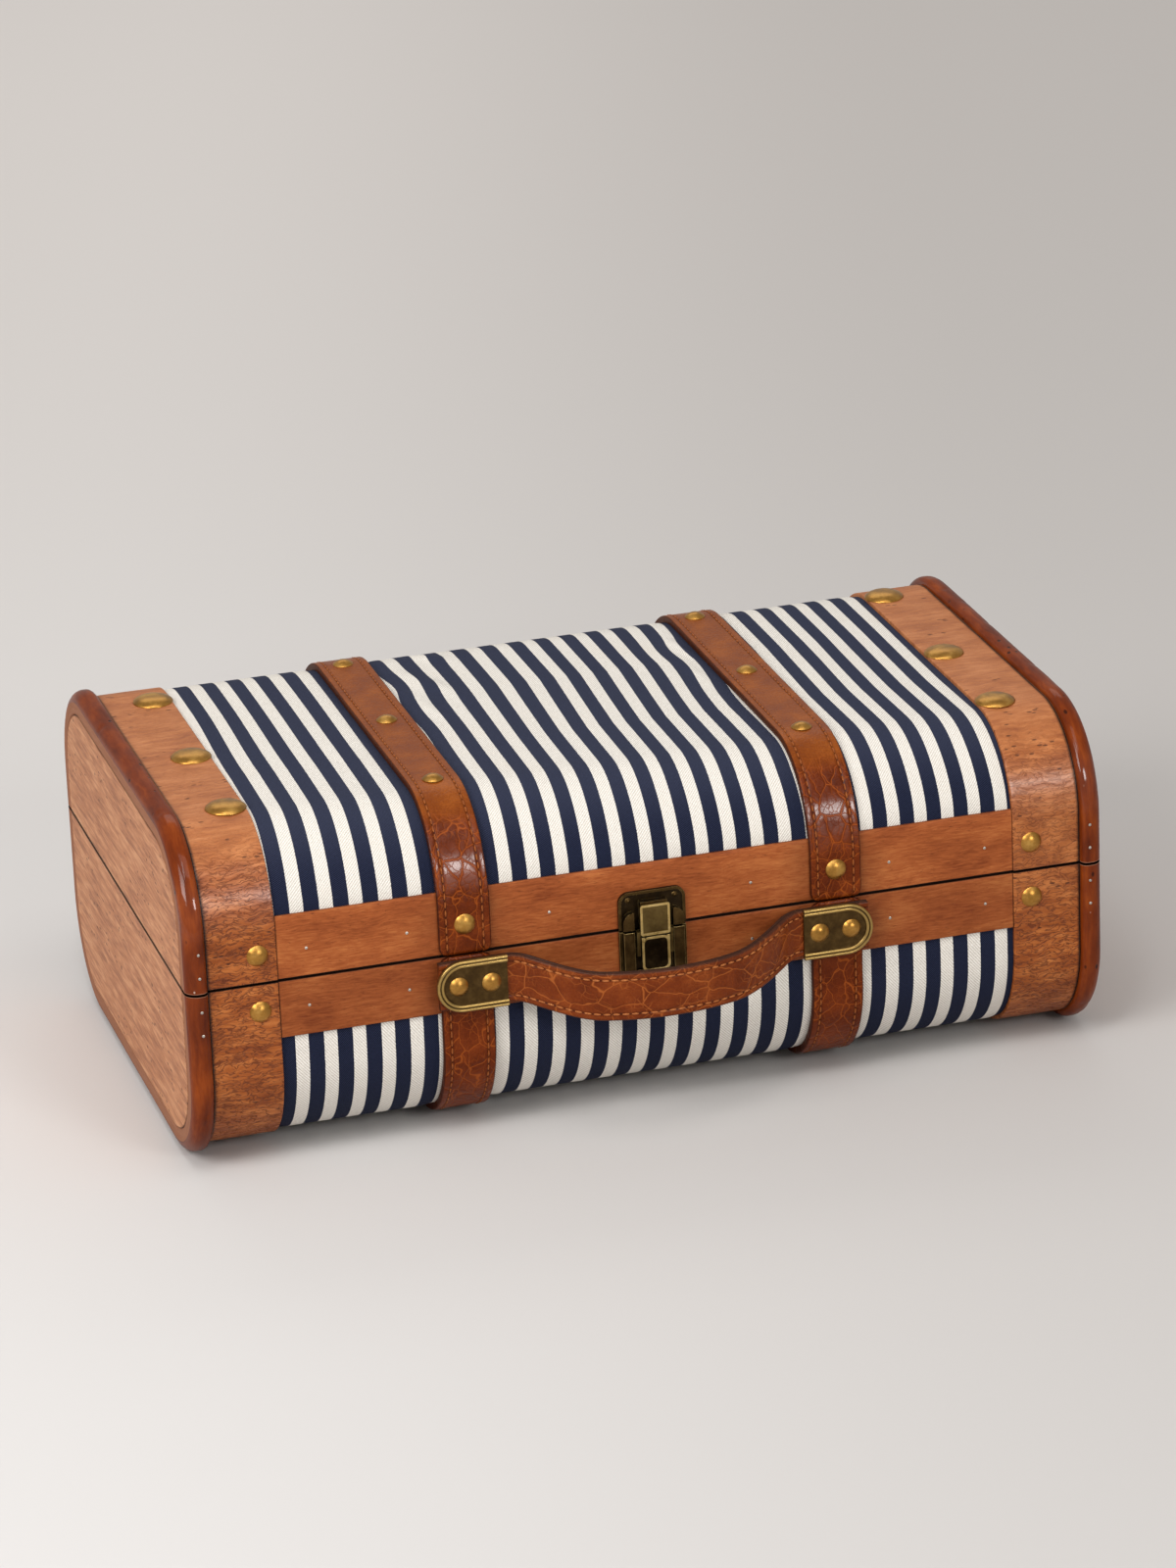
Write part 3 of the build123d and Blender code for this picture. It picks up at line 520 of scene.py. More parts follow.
def board_wood():
    """A board with a dark groove beside the moulding, and on its outer face a dark line at the seam."""
    p = Paint("end_board_wood")
    where = p.place()
    fibre = p.noise(p.stretched(where, 800.0, 42.0, 430.0), 1.0, 5.0, 0.66, 0.25)
    fine = p.noise(p.stretched(where, 900.0, 110.0, 1300.0), 1.0, 2.0, 0.5)
    colour = p.ramp(fibre * 0.7 + fine * 0.3, [(0.38, "99603f"), (0.5, "bb7e57"), (0.62, "d29a72")])
    pore = specks(p, p.stretched(where, 1.0, 0.4, 1.1), 420.0, 0.26, 0.46)
    colour = p.mix(pore * 0.75, colour, "4a2718")
    groove = 1 - abs(case_inset(p) - TRIM_DEPTH).between(0.15, 0.75)
    seam = seam_line(p, 0.0006, 0.0011) * abs(p.axis(where, "X")).between(0.1690, 0.1700)
    colour = p.mix(groove.math("MAXIMUM", seam) * 0.85, colour, "24120a")
    normal = p.bump(fibre - pore, 0.22, 0.0002)
    return p.finish(Base_Color=colour, Roughness=0.55 + (fibre - 0.5) * 0.2, Normal=normal,
                    Specular_IOR_Level=0.2)


def moulding_wood():
    """The moulding's flat outer ring is bare like the board, where its number "worn" is 1 or more."""
    p = Paint("varnished_moulding")
    flat = p.lay()
    bent = p.shifted(flat, p.noise(flat, 60.0, 2.0, colour=True), 0.004)
    fibre = p.noise(p.stretched(bent, 420.0, 38.0, 1.0), 1.0, 4.0, 0.6)
    cloud = p.noise(p.stretched(flat, 120.0, 42.0, 1.0), 1.0, 4.0, 0.62)
    colour = p.ramp(fibre * 0.4 + cloud * 0.6, [(0.32, "4c1a06"), (0.5, "6e2c0a"), (0.68, "8e4112")])
    pit = specks(p, p.stretched(flat, 1.0, 0.6, 1.0), 230.0, 0.20, 0.50)
    chip = specks(p, p.stretched(flat, 1.0, 0.8, 1.0), 170.0, 0.11, 0.46)
    colour = p.mix(pit * 0.85, colour, "240d05")
    colour = p.mix(chip * 0.8, colour, "d8c0ab")
    bare = p.worn()
    colour = p.mix(bare.between(0.3, 0.6), colour, p.mix(fibre, "8a5a42", "a97a62"))
    colour = p.mix(bare.between(1.2, 1.8), colour, "160a05")
    rough = 0.30 + fibre * 0.12 + bare.between(0.3, 0.6) * 0.35
    normal = p.bump(cloud * 0.5 - pit - chip * 0.5, 0.35, 0.0005)
    varnish = (0.28 + rubbed_bend(p) * 0.5) * (1 - bare.between(0.2, 0.5))
    return p.finish(Base_Color=colour, Roughness=rough, Normal=normal, Specular_IOR_Level=0.02,
                    Coat_Weight=varnish, Coat_Roughness=0.09)


def plywood():
    p = Paint("plywood")
    where = p.place()
    fibre = p.noise(p.stretched(where, 30.0, 700.0, 900.0), 1.0, 4.0, 0.6)
    colour = p.ramp(fibre, [(0.25, "8b6a44"), (0.55, "b8946a"), (0.85, "d2b48c")])
    seam = seam_line(p, 0.0005, 0.0012) * (1 - case_inset(p).between(5.5, 5.9))
    colour = p.mix(seam, colour, "1c0f08")
    return p.finish(Base_Color=colour, Roughness=0.65, Normal=p.bump(fibre, 0.3, 0.0002),
                    Specular_IOR_Level=0.25)


BOARD_WOOD, TRIM_WOOD, PLYWOOD = board_wood(), moulding_wood(), plywood()
print("made", BOARD_WOOD.name, TRIM_WOOD.name, PLYWOOD.name)

# %% [markdown]
# The cloth is woven in navy and cream stripes about 10.6 mm apart that run round the case. The
# stripe comes from the place across the flat cloth, so it bends where the cloth is pulled. Navy is
# a fine twill with slanting ribs, cream has short crossing ribs, and the two meet in a slightly
# ragged edge.
# %% Woven stripes
STRIPE, CREAM_SHARE, CREAM_START = 10.62, 0.466, -133.9


def striped_cloth():
    p = Paint("striped_cloth")
    flat = p.lay()
    ragged = p.shifted(flat, p.noise(flat, 2600.0, 2.0, colour=True), 0.0004)
    across = (p.axis(ragged, "X") * (1 / (STRIPE * MM)) - CREAM_START / STRIPE + 40.0).math("FRACT")
    edge, border = 0.5 - abs(across - 0.5 * CREAM_SHARE), 0.5 - 0.5 * CREAM_SHARE
    cream = edge.between(border - 0.006, border + 0.006)
    x, y = p.axis(flat, "X"), p.axis(flat, "Y")
    twill = ((x + y) * (2 * math.pi / 0.00085)).math("SINE") * 0.5 + 0.5
    cross = ((x - y * 0.8) * (2 * math.pi / 0.0011)).math("SINE") * 0.5 + 0.5
    thread = p.noise(p.stretched(flat, 900.0, 2400.0, 1.0), 1.0, 3.0, 0.7)
    worn = p.noise(flat, 30.0, 3.0)
    navy = p.ramp(twill * 0.55 + thread * 0.45, [(0.2, "0a0d1c"), (0.5, "141930"), (0.8, "293048")])
    pale = p.ramp(cross * 0.35 + thread * 0.65, [(0.25, "beb6ab"), (0.5, "dad4cb"), (0.75, "efede8")])
    pale = p.mix(worn.between(0.5, 0.8) * 0.3, pale, "d9cdbd")
    # Painted sheen: on top of the lid the navy is mixed a little toward a pale blue-grey.
    navy = p.mix(p.axis(p.place(), "Z").between(0.105, 0.128) * 0.09, navy, "7c829c")
    colour = p.mix(cream, navy, pale)
    rib = twill * (1 - cream) * 0.7 + cross * cream * 0.5 + thread * 0.5
    normal = p.bump(rib + cream * 0.6, 0.75, 0.00022)
    return p.finish(Base_Color=colour, Roughness=0.8, Normal=normal, Specular_IOR_Level=0.13)


CLOTH = striped_cloth()
print("stripes", STRIPE, "mm apart, cream share", CREAM_SHARE)

# %% [markdown]
# The leather is pressed with a cracked pattern: thin orange lines that cross in long cells. On top
# of the case the pressing is worn flat, so only soft clouds and a pebble are left there. A cell
# texture gives the cracks where the distance to a cell's edge is small. Bending the coordinates
# with noise first keeps the cells from looking like a net. The needle holes between the stitches
# are dark dots. Their places come from the same pitch as the stitches.
# %% Pressed leather
LAY_STEP = 45.0   # the flat pieces of leather are laid out side by side, this far apart
STITCH_PITCH = 3.3


def stitch_marks(p, flat, row):
    """The dark needle holes between stitches, and the darker valley of the row, as two amounts."""
    across = abs((p.axis(flat, "X") * (1000.0 / LAY_STEP) + 0.5).math("FRACT") - 0.5) * LAY_STEP - row
    along = (abs((p.axis(flat, "Y") * (1000.0 / STITCH_PITCH)).math("FRACT") - 0.5)) * STITCH_PITCH
    hole = 1 - (across * across + along * along).math("SQRT").between(0.25, 0.55)
    return hole, 1 - abs(across).between(0.2, 1.0)


def leather(name, deep, middle, light, line, edge, size, row, flat_top):
    """Leather pressed with cells of this size. Its stitches run in rows this far from the middle. Both
    are in millimetres. With flat_top the pressing is worn flat on top of the case, and the top gets a
    paler colour as painted light."""
    p = Paint(name)
    flat = p.lay()
    bent = p.shifted(flat, p.noise(flat, 95.0, 2.0, colour=True), 0.005)
    long_cell = p.cells(p.stretched(bent, 1.0, 0.62, 1.0), 1000.0 / size)
    small_cell = p.cells(p.stretched(bent, 1.0, 0.9, 1.0), 2300.0 / size)
    patch = p.noise(flat, 70.0, 2.0).between(0.42, 0.58)
    pressed = 1 - p.axis(p.place(), "Z").between(0.1175, 0.1255) if flat_top else 1.0
    fine = (1 - small_cell.between(0.0, 0.05)) * patch * 0.6
    lines = (1 - long_cell.between(0.0, 0.028)).math("MAXIMUM", fine) * pressed
    pebble = p.noise(flat, 1300.0, 3.0, 0.6)
    cloud = p.noise(flat, 75.0, 4.0, 0.6)
    colour = p.ramp(cloud * 0.7 + pebble * 0.3, [(0.30, deep), (0.5, middle), (0.72, light)])
    # Painted light: on top of the case the leather takes a paler ramp.
    if flat_top:
        stops = [(0.32, "6a3010"), (0.5, "804012"), (0.68, "98521c")]
        above = p.ramp(cloud * 0.6 + pebble * 0.4, stops)
        colour = p.mix(pressed, above, colour)
    colour = p.mix(lines * 0.7, colour, line)
    hole, valley = stitch_marks(p, flat, row)
    colour = p.mix(hole.math("MAXIMUM", valley * 0.5) * 0.55, colour, "240e05")
    colour = p.mix(p.worn(), colour, edge)
    rough = 0.34 + lines * 0.15 + (cloud - 0.5) * 0.3 + p.worn() * 0.25
    height = long_cell.between(0.0, 0.14) * pressed * 0.8 + pebble * 0.4
    height = height + small_cell.between(0.0, 0.2) * 0.3
    gloss = 0.10
    if flat_top:
        broken = (1 - small_cell.between(0.03, 0.09)) * 0.8
        whole = 1 - (1 - long_cell.between(0.03, 0.10)).math("MAXIMUM", broken)
        gloss = rubbed_bend(p) * whole * (cloud.between(0.36, 0.56) * 0.6 + 0.4) + 0.06
    return p.finish(Base_Color=colour, Roughness=rough, Normal=p.bump(height, 0.5, 0.0004),
                    Specular_IOR_Level=0.08, Coat_Weight=gloss, Coat_Roughness=0.19)


STRAP_LEATHER = leather("strap_leather", "481803", "622607", "7c3610", "a04f18", "30130a",
                        size=6.5, row=6.8, flat_top=True)
HANDLE_LEATHER = leather("handle_leather", "521f06", "6e2e0c", "8a4319", "ae6029", "2e211c",
                         size=7.2, row=6.6, flat_top=False)
print("made", STRAP_LEATHER.name, HANDLE_LEATHER.name)

# %% [markdown]
# The stitches are waxed thread, a little lighter than the leather. The lining is a plain pale cloth
# that nobody sees while the case is shut, so a simple weave is enough for it.
# %% Thread and lining
def thread(name, dark, middle, light):
    p = Paint(name)
    twist = p.noise(p.place(), 1800.0, 2.0)
    colour = p.ramp(twist, [(0.3, dark), (0.6, middle), (0.85, light)])
    return p.finish(Base_Color=colour, Roughness=0.6, Normal=p.bump(twist, 0.4, 0.0002),
                    Specular_IOR_Level=0.3)


STRAP_THREAD = thread("strap_thread", "783812", "9a5420", "b4702f")
HANDLE_THREAD = thread("handle_thread", "8e4a1e", "b36c35", "cf9058")


def lining_cloth():
    p = Paint("lining_cloth")
    where = p.place()
    weave = p.noise(p.stretched(where, 1600.0, 1600.0, 1600.0), 1.0, 2.0)
    amount = weave * 0.5 + p.noise(where, 22.0) * 0.5
    colour = p.ramp(amount, [(0.2, "b9a789"), (0.6, "d6c7ab"), (0.9, "e6dac2")])
    return p.finish(Base_Color=colour, Roughness=0.85, Normal=p.bump(weave, 0.4, 0.0002),
                    Specular_IOR_Level=0.2)


LINING = lining_cloth()
print("made", STRAP_THREAD.name, HANDLE_THREAD.name, LINING.name)

# %% [markdown]
# The metal is brass in two states. The domed nails are polished brass under a thin greenish-brown
# film. The latch, the handle plates and the hinges are darkened brass that is rubbed bright along
# its edges.
# %% Brass and steel
def brass(name, dark, middle, light, rough, rubbed=None, metal=0.9):
    """Brass under a thin film of tarnish, so its surface is a little less than fully metallic."""
    p = Paint(name)
    where = p.place()
    stain = p.noise(where, 210.0, 4.0, 0.6)
    fine = p.noise(where, 1100.0, 3.0, 0.6)
    colour = p.ramp(stain * 0.75 + fine * 0.25, [(0.3, dark), (0.5, middle), (0.7, light)])
    roughness = rough + stain.between(0.35, 0.7) * 0.15 + (fine - 0.5) * 0.06
    if rubbed:
        mark = (p.worn() + (stain - 0.5) * 0.25).between(0.1, 0.9)
        colour = p.mix(mark, colour, rubbed)
        roughness = roughness - mark * 0.08
    normal = p.bump(fine * 0.4 + stain * 0.6, 0.15, 0.0001)
    return p.finish(Base_Color=colour, Metallic=metal, Roughness=roughness, Normal=normal)


BRIGHT_BRASS = brass("nail_brass", "91682d", "b0803b", "cb9f54", 0.29)
PLATE_BRASS = brass("plate_brass", "382714", "4e3a1c", "664e2b", 0.36, rubbed="ab8d52")
DARK_BRASS = brass("dark_brass", "1c140a", "2c2010", "40311a", 0.32, rubbed="8d7238")
PAD_BRASS = brass("pad_brass", "5a4726", "6d5830", "806a3e", 0.34, rubbed="8d7238")
RUBBED_BRASS = brass("rubbed_brass", "a08349", "bd9f61", "d8bd80", 0.26, metal=0.55)
PALE_STEEL = brass("pale_steel", "9a948b", "bdb7ad", "d6d1c8", 0.3)
print("finishes:", len(bpy.data.materials))

# %% [markdown]
# The ends of the case are framed with a bent half-round moulding. Its cross-section is a rectangle
# with two rounded shoulders, and it is bent round the corners, so its surface has slight waves and
# a few dents. The section runs from the board's groove over both shoulders to the strip, and the
# waves fade out where it is hidden.
# %% End mouldings
OUTER_ROUND, INNER_ROUND, TRIM_BRAD_X = 4.6, 2.4, 167.9
SEAM_STAIN = 0.35   # how wide the dark line at the seam is on each half


def seam_stations(half, step=2.0):
    """The stations of a whole half, with one just inside each end for the dark line at the seam."""
    inner = stations(half, SEAM_STAIN, LENGTH[half] - SEAM_STAIN, step)
    return np.concatenate([[0.0], inner, [LENGTH[half]]])


def at_seam(half, s):
    """1 at the two ends of a half, and 0 from the first station inside on."""
    return 1.0 - smooth(0.0, SEAM_STAIN, np.minimum(s, LENGTH[half] - s))


def trim_section():
    """Across and inset of the moulding's section: an arc at each shoulder, joined by straight runs."""
    outer = np.radians(np.linspace(0, 90, 15))
    inner = np.radians(np.linspace(90, 180, 9))
    x = np.concatenate([[HALF_LENGTH - 0.5, HALF_LENGTH],
                        HALF_LENGTH - OUTER_ROUND * (1 - np.cos(outer)), [TRIM_BRAD_X],
                        TRIM_INNER_X + INNER_ROUND * (1 + np.cos(inner)), [TRIM_INNER_X] * 2])
    inset = np.concatenate([[TRIM_DEPTH, TRIM_DEPTH - 0.5], OUTER_ROUND * (1 - np.sin(outer)),
                            [0.0], INNER_ROUND * (1 - np.sin(inner)), [5.5, TRIM_DEPTH]])
    return x, inset


def end_moulding(side, half):
    """Half of a moulding: its section at every station. The inset grows by 0.12 plus two ripples plus
    seven bell-shaped dents, all times exp(-((inset - 1.5) / 2.6)^2), which fades them out where
    hidden."""
    skin = Skin()
    x, inset = trim_section()
    s = seam_stations(half, 1.6)[:, None]
    seed = 11 + (side > 0) + 2 * (half == "lid")
    shown = np.exp(-((inset - 1.5) / 2.6) ** 2)[None, :]
    wave = 0.16 * ripple(s / 9.0, x / 3.0, seed) + 0.10 * ripple(s / 3.1, x / 2.0, seed + 40)
    dent_s = np.random.default_rng(seed).uniform(8, LENGTH[half] - 8, 7)
    dent_x = np.random.default_rng(seed + 9).uniform(167, 172, 7)
    dents = sum(0.45 * np.exp(-((s - at_s) / 1.3) ** 2 - ((x - at_x) / 1.6) ** 2)
                for at_s, at_x in zip(dent_s, dent_x))
    depth = inset + shown * (0.12 + wave + dents)
    points = wrapped(half, s, x[None, :], depth)
    points[..., 0] *= side
    along = np.cumsum(np.hypot(np.diff(x, prepend=x[0]), np.diff(inset, prepend=inset[0])))
    lay = spread(along[None, :] + 40.0 * seed, s)
    bare = np.where(inset > OUTER_ROUND - 0.3, np.where(x > 168.0, 1.0, 2.0), 0.0)[None, :]
    skin.add_sweep(points, lay, np.maximum(bare, 2.0 * at_seam(half, s)))
    skin.piece(f"{half}_end_moulding_{SIDES[side]}", TRIM_WOOD, half, "trim_wood",
               [f"{half}_end_trim_{SIDES[side]}"])


for half in ROUTES:
    for side in SIDES:
        end_moulding(side, half)

# %% [markdown]
# Between each moulding and the cloth lies a wide strip of curly veneer, bent round the case like
# the moulding. It is thin, so its free edge over the cloth is softly rounded and paler, and its
# face is not quite flat.
# %% End strips
def slat_section(low, high, face, back, round_off, steps):
    """Across and inset of a flat slat's section: a face with rounded edges, and a straight back."""
    turn = np.radians(np.linspace(0, 90, 5))
    left = low + round_off * (1 - np.cos(turn))
    rise = face + round_off * (1 - np.sin(turn))
    middle = np.linspace(low + round_off, high - round_off, steps)[1:-1]
    x = np.concatenate([[low], left, middle, (low + high) - left[::-1], [high]])
    inset = np.concatenate([[back], rise, np.full(len(middle), face), rise[::-1], [back]])
    return x, inset


def end_strip(side, half):
    """Half of a strip: a slat's section at every station, with its face 0.05 plus 0.07 of a ripple
    deeper and its free edge moved across by 0.12 of another ripple."""
    skin = Skin()
    x, inset = slat_section(STRIP_INNER_X, TRIM_INNER_X, STRIP_FACE, BACK_FACE, 0.4, 24)
    s = seam_stations(half)[:, None]
    seed = 31 + (side > 0) + 2 * (half == "lid")
    on_face = (inset < STRIP_FACE + 0.3)[None, :]
    depth = inset + on_face * (0.05 + 0.07 * ripple(s / 8.0, x / 6.0, seed))
    wander = 0.12 * ripple(s / 11.0, 0.0, seed + 7) * (x < STRIP_INNER_X + 2.0)[None, :]
    points = wrapped(half, s, x[None, :] + wander, depth)
    points[..., 0] *= side
    lay = spread(x[None, :] + 60.0 * seed, s)
    outer_line = smooth(TRIM_INNER_X - 0.9, TRIM_INNER_X - 0.4, x)[None, :]
    skin.add_sweep(points, lay, np.maximum(outer_line, at_seam(half, s)))
    skin.piece(f"{half}_veneer_strip_{SIDES[side]}", STRIP_WOOD, half, "strip_wood",
               [f"{half}_end_strip_{SIDES[side]}"])


for half in ROUTES:
    for side in SIDES:
        end_strip(side, half)

# %% [markdown]
# Two plain wooden bands meet at the seam on the front and on the back. Their section is a slat seen
# from its end, carried straight along x, with slightly worn long edges.
# %% Wooden bands
def seam_band(half, facing):
    """One band: here the slat's section runs along the case's outline, and the path runs along x. The
    face is 0.05 plus 0.06 of a ripple deeper, and the long edges 0.10 of another ripple more."""
    skin = Skin()
    reach = band_reach(half)
    s, inset = slat_section(0.0, reach, BAND_FACE, BACK_FACE, 0.45, 16)
    end = STRIP_INNER_X - 0.05
    x = np.concatenate([[-end], np.linspace(0.5 - end, end - 0.5, 150), [end]])[:, None]
    seed = 51 + (facing > 0) + 2 * (half == "lid")
    on_face = (inset < BAND_FACE + 0.4)[None, :]
    depth = inset + on_face * (0.05 + 0.06 * ripple(x / 14.0, s / 5.0, seed))
    worn_edge = 0.10 * ripple(x / 5.0, 0.0, seed + 5) * (inset > BAND_FACE + 0.02)[None, :]
    points = wrapped(half, s[None, :], x, depth + worn_edge)
    points[..., 1] *= -facing
    seam_side = 1.0 - smooth(0.0, SEAM_STAIN, s)[None, :]
    cloth_side = 0.5 * smooth(reach - 0.3, reach, s)[None, :]
    ends = smooth(STRIP_INNER_X - 0.5, STRIP_INNER_X - 0.1, np.abs(x))
    skin.add_sweep(points, None, np.maximum(np.maximum(seam_side, cloth_side), ends))
    skin.piece(f"{half}_seam_band_{WALLS[facing]}", BAND_WOOD, half, "band_wood",
               [f"{half}_band_{WALLS[facing]}"])


for half in ROUTES:
    for facing in WALLS:
        seam_band(half, facing)

# %% [markdown]
# The cloth is glued over the plywood. It is held down along the bands, the strips and the straps,
# and stands a little proud between them. Beside the straps on top it has a few soft puckers, where
# it was pulled when the strap went on. The relief is one field over (x, length). On the lid the
# cloth was not laid quite straight, so a small table says how far its stripes lean over to the
# right, and near the puckers they bend a little more.
# %% How the cloth lies
# Each pucker: x, length from the middle, half its width, half its length, slant in degrees, height.
PUCKERS = ((-44.0, 38.0, 7.0, 15.0, 25.0, 0.95), (-36.0, 66.0, 6.0, 10.0, 40.0, 0.8),
           (-50.0, 10.0, 4.0, 16.0, 10.0, 0.5), (57.0, 36.0, 3.2, 12.0, 12.0, 0.9),
           (53.0, 12.0, 3.6, 14.0, 8.0, 0.5), (-93.0, -20.0, 8.0, 26.0, 12.0, 0.25),
           (100.0, 5.0, 10.0, 30.0, -14.0, 0.25), (10.0, -30.0, 16.0, 40.0, 8.0, 0.2))


def cloth_relief(half, x, s):
    """How far the cloth stands out: puffed between its held edges, plus puckers, each a slanted
    bell."""
    edge_x = np.minimum(STRIP_INNER_X - np.abs(x), np.abs(np.abs(x) - STRAP_X) - STRAP_HALF)
    start = band_reach(half)
    edge_s = np.minimum(s - start, LENGTH[half] - start - s)
    held = smooth(-0.5, 5.0, edge_x) * smooth(-0.5, 5.0, edge_s)
    relief = -0.35 + 0.50 * held + 0.10 * held * ripple(x / 9.0, s / 13.0, 5 if half == "lid" else 6)
    if half == "lid":
        along = s - LENGTH["lid"] / 2
        for at_x, at_s, wide, long, slant, height in PUCKERS:
            turn = math.radians(slant)
            u = (x - at_x) * math.cos(turn) + (along - at_s) * math.sin(turn)
            v = (along - at_s) * math.cos(turn) - (x - at_x) * math.sin(turn)
            bell = np.exp(-(u / wide) ** 2 - (v / long) ** 2)
            relief = relief + held * height * bell * np.cos(u / wide * 2.2)
    return relief


# How far the lid's stripes lie to the right of straight ones: at the strips, at both edges of each
# strap, and in the middle. Each row belongs to one length from the middle of the cloth.
LEAN_X = (-STRIP_INNER_X, -STRAP_X - STRAP_HALF, STRAP_HALF - STRAP_X, 0.0,
          STRAP_X - STRAP_HALF, STRAP_X + STRAP_HALF, STRIP_INNER_X)
LEANS = {-108.0: (1.0, 2.5, 4.25, 4.0, 3.0, 2.5, 1.0),
         -88.0: (1.5, 2.5, 4.75, 4.0, 2.25, 2.25, 0.25),
         -30.0: (3.0, 3.25, 6.0, 4.75, 2.0, 1.75, -1.0),
         26.0: (3.0, 3.5, 5.5, 8.5, 6.5, 3.5, -0.75)}


def lid_lean(x, along):
    """How far the lid's stripes lie to the right of straight ones: a line through a row's numbers across
    x, and between two rows a blend by how near each of them is along the cloth."""
    return sum(np.interp(along, list(LEANS), near) * np.interp(x, LEAN_X, row)
               for near, row in zip(np.eye(len(LEANS)), LEANS.values()))


def pattern_pull(half, x, s):
    """How far the woven stripes wander sideways: a slow ripple, and on the lid two bells beside each
    strap, a lean along the left strip, and the table's lean."""
    along = s - LENGTH[half] / 2
    near = np.exp(-((np.abs(x) - STRAP_X + STRAP_HALF) / 16.0) ** 2) * (np.abs(x) < STRAP_X)
    pull = 0.5 * ripple(along / 26.0, x / 60.0, 71 if half == "lid" else 72)
    if half == "lid":
        pull = pull + np.sign(x) * near * (2.4 * np.exp(-((along - 38.0) / 13.0) ** 2)
                                           + 0.9 * np.exp(-((along + 12.0) / 16.0) ** 2))
        left_edge = np.exp(-((x + STRIP_INNER_X) / 22.0) ** 2)
        pull = pull - 1.7 * left_edge * smooth(-28.0, 40.0, along) - lid_lean(x, along)
    return pull


print("the lid's stripes lean by up to", max(max(row) for row in LEANS.values()), "mm")

# %% [markdown]
# The sheet could be a cloth simulation, but it is glued down and hardly moves. So it is the
# outline's route again, with the relief and the lean of the stripes from the cell before.
# %% The cloth itself
def cloth(half):
    """The cloth of one half: its face lies at the cloth's inset less the relief, over (x, length), and
    its back is flat. All round it goes a little under the wood."""
    skin = Skin()
    start, reach = band_reach(half) - 0.4, STRIP_INNER_X + 0.3
    s = stations(half, start, LENGTH[half] - start)[:, None]
    top = np.linspace(-reach, reach, 260)[None, :]
    under = np.linspace(reach, -reach, 9)[None, :]
    x = np.repeat(np.concatenate([top, under], 1), len(s), 0)
    face = FABRIC_FACE - cloth_relief(half, top, s)
    inset = np.concatenate([face, np.full((len(s), under.size), BACK_FACE)], 1)
    skin.add_sweep(wrapped(half, s, x, inset), spread(x + pattern_pull(half, x, s), s))
    skin.piece(f"{half}_striped_cloth", CLOTH, half, "striped_cloth", [f"{half}_fabric"])


for half in ROUTES:
    cloth(half)

# %% [markdown]
# Each strap is a flat leather with a pressed line near both edges and a row of stitches in it. The
# section has rounded edges, a shallow valley under each row, and a slightly hollow middle. The two
# ends at the seam have rounded corners, so the section narrows there.
# %% The strap's section and its stitches
STITCH_IN, STITCH_LONG, STRAP_CORNER = 2.9, 2.5, 3.0


def strap_section(half_width, face, valley=0.28, row=STITCH_IN):
    """Across and inset of a leather strap's face: a quarter circle at each edge, a bell-shaped valley
    under each row of stitches, and a hollow of 0.10 cos between them."""
    turn = np.radians(np.linspace(0, 90, 6))
    soft = 0.75
    edge = -half_width + soft * (1 - np.cos(turn))
    rise = soft * (1 - np.sin(turn))
    middle = np.linspace(-half_width + soft, half_width - soft, 41)[1:-1]
    groove = valley * np.exp(-((np.abs(middle) - half_width + row) / 0.42) ** 2)
    hollow = 0.10 * np.cos(middle / half_width * math.pi / 2)
    across = np.concatenate([edge, middle, -edge[::-1]])
    depth = np.concatenate([rise, groove + hollow, rise[::-1]])
    return across, face + depth


def narrowed(across, half_width, end, corner):
    """The section drawn in at a rounded end: the outer columns move in most, by the corner's circle."""
    reach = np.clip(corner - end, 0.0, corner)
    inward = corner - np.sqrt(np.maximum(corner ** 2 - reach ** 2, 0.0))
    return across * (1 - inward / half_width * (np.abs(across) / half_width) ** 3)


def unit_stitch(rings=4, around=6):
    """A closed oval of unit half size, as rings between two points: a few dozen faces."""
    t = np.linspace(-0.92, 0.92, rings)[:, None]
    turn = np.linspace(0, 2 * math.pi, around, endpoint=False)[None, :]
    wide = (1 - np.abs(t) ** 3.2) ** 0.5
    body = spread(t, wide * np.cos(turn), wide * np.sin(turn)).reshape(-1, 3)
    points = np.concatenate([body, [[-1.0, 0, 0], [1.0, 0, 0]]])
    ring = np.arange(around)
    tail, head = rings * around, rings * around + 1
    first = np.stack([np.full(around, tail), (ring + 1) % around, ring], -1)
    top = (rings - 1) * around
    last = np.stack([np.full(around, head), top + ring, top + (ring + 1) % around], -1)
    return points, [grid_faces(rings, around, True), first, last]


STITCH_POINTS, STITCH_FACES = unit_stitch()


def add_many(skin, points, faces):
    """Many copies of one small closed shape: points (copies, n, 3)."""
    for one in points:
        skin.add(one, faces)


print("a stitch has", sum(len(group) for group in STITCH_FACES), "faces")

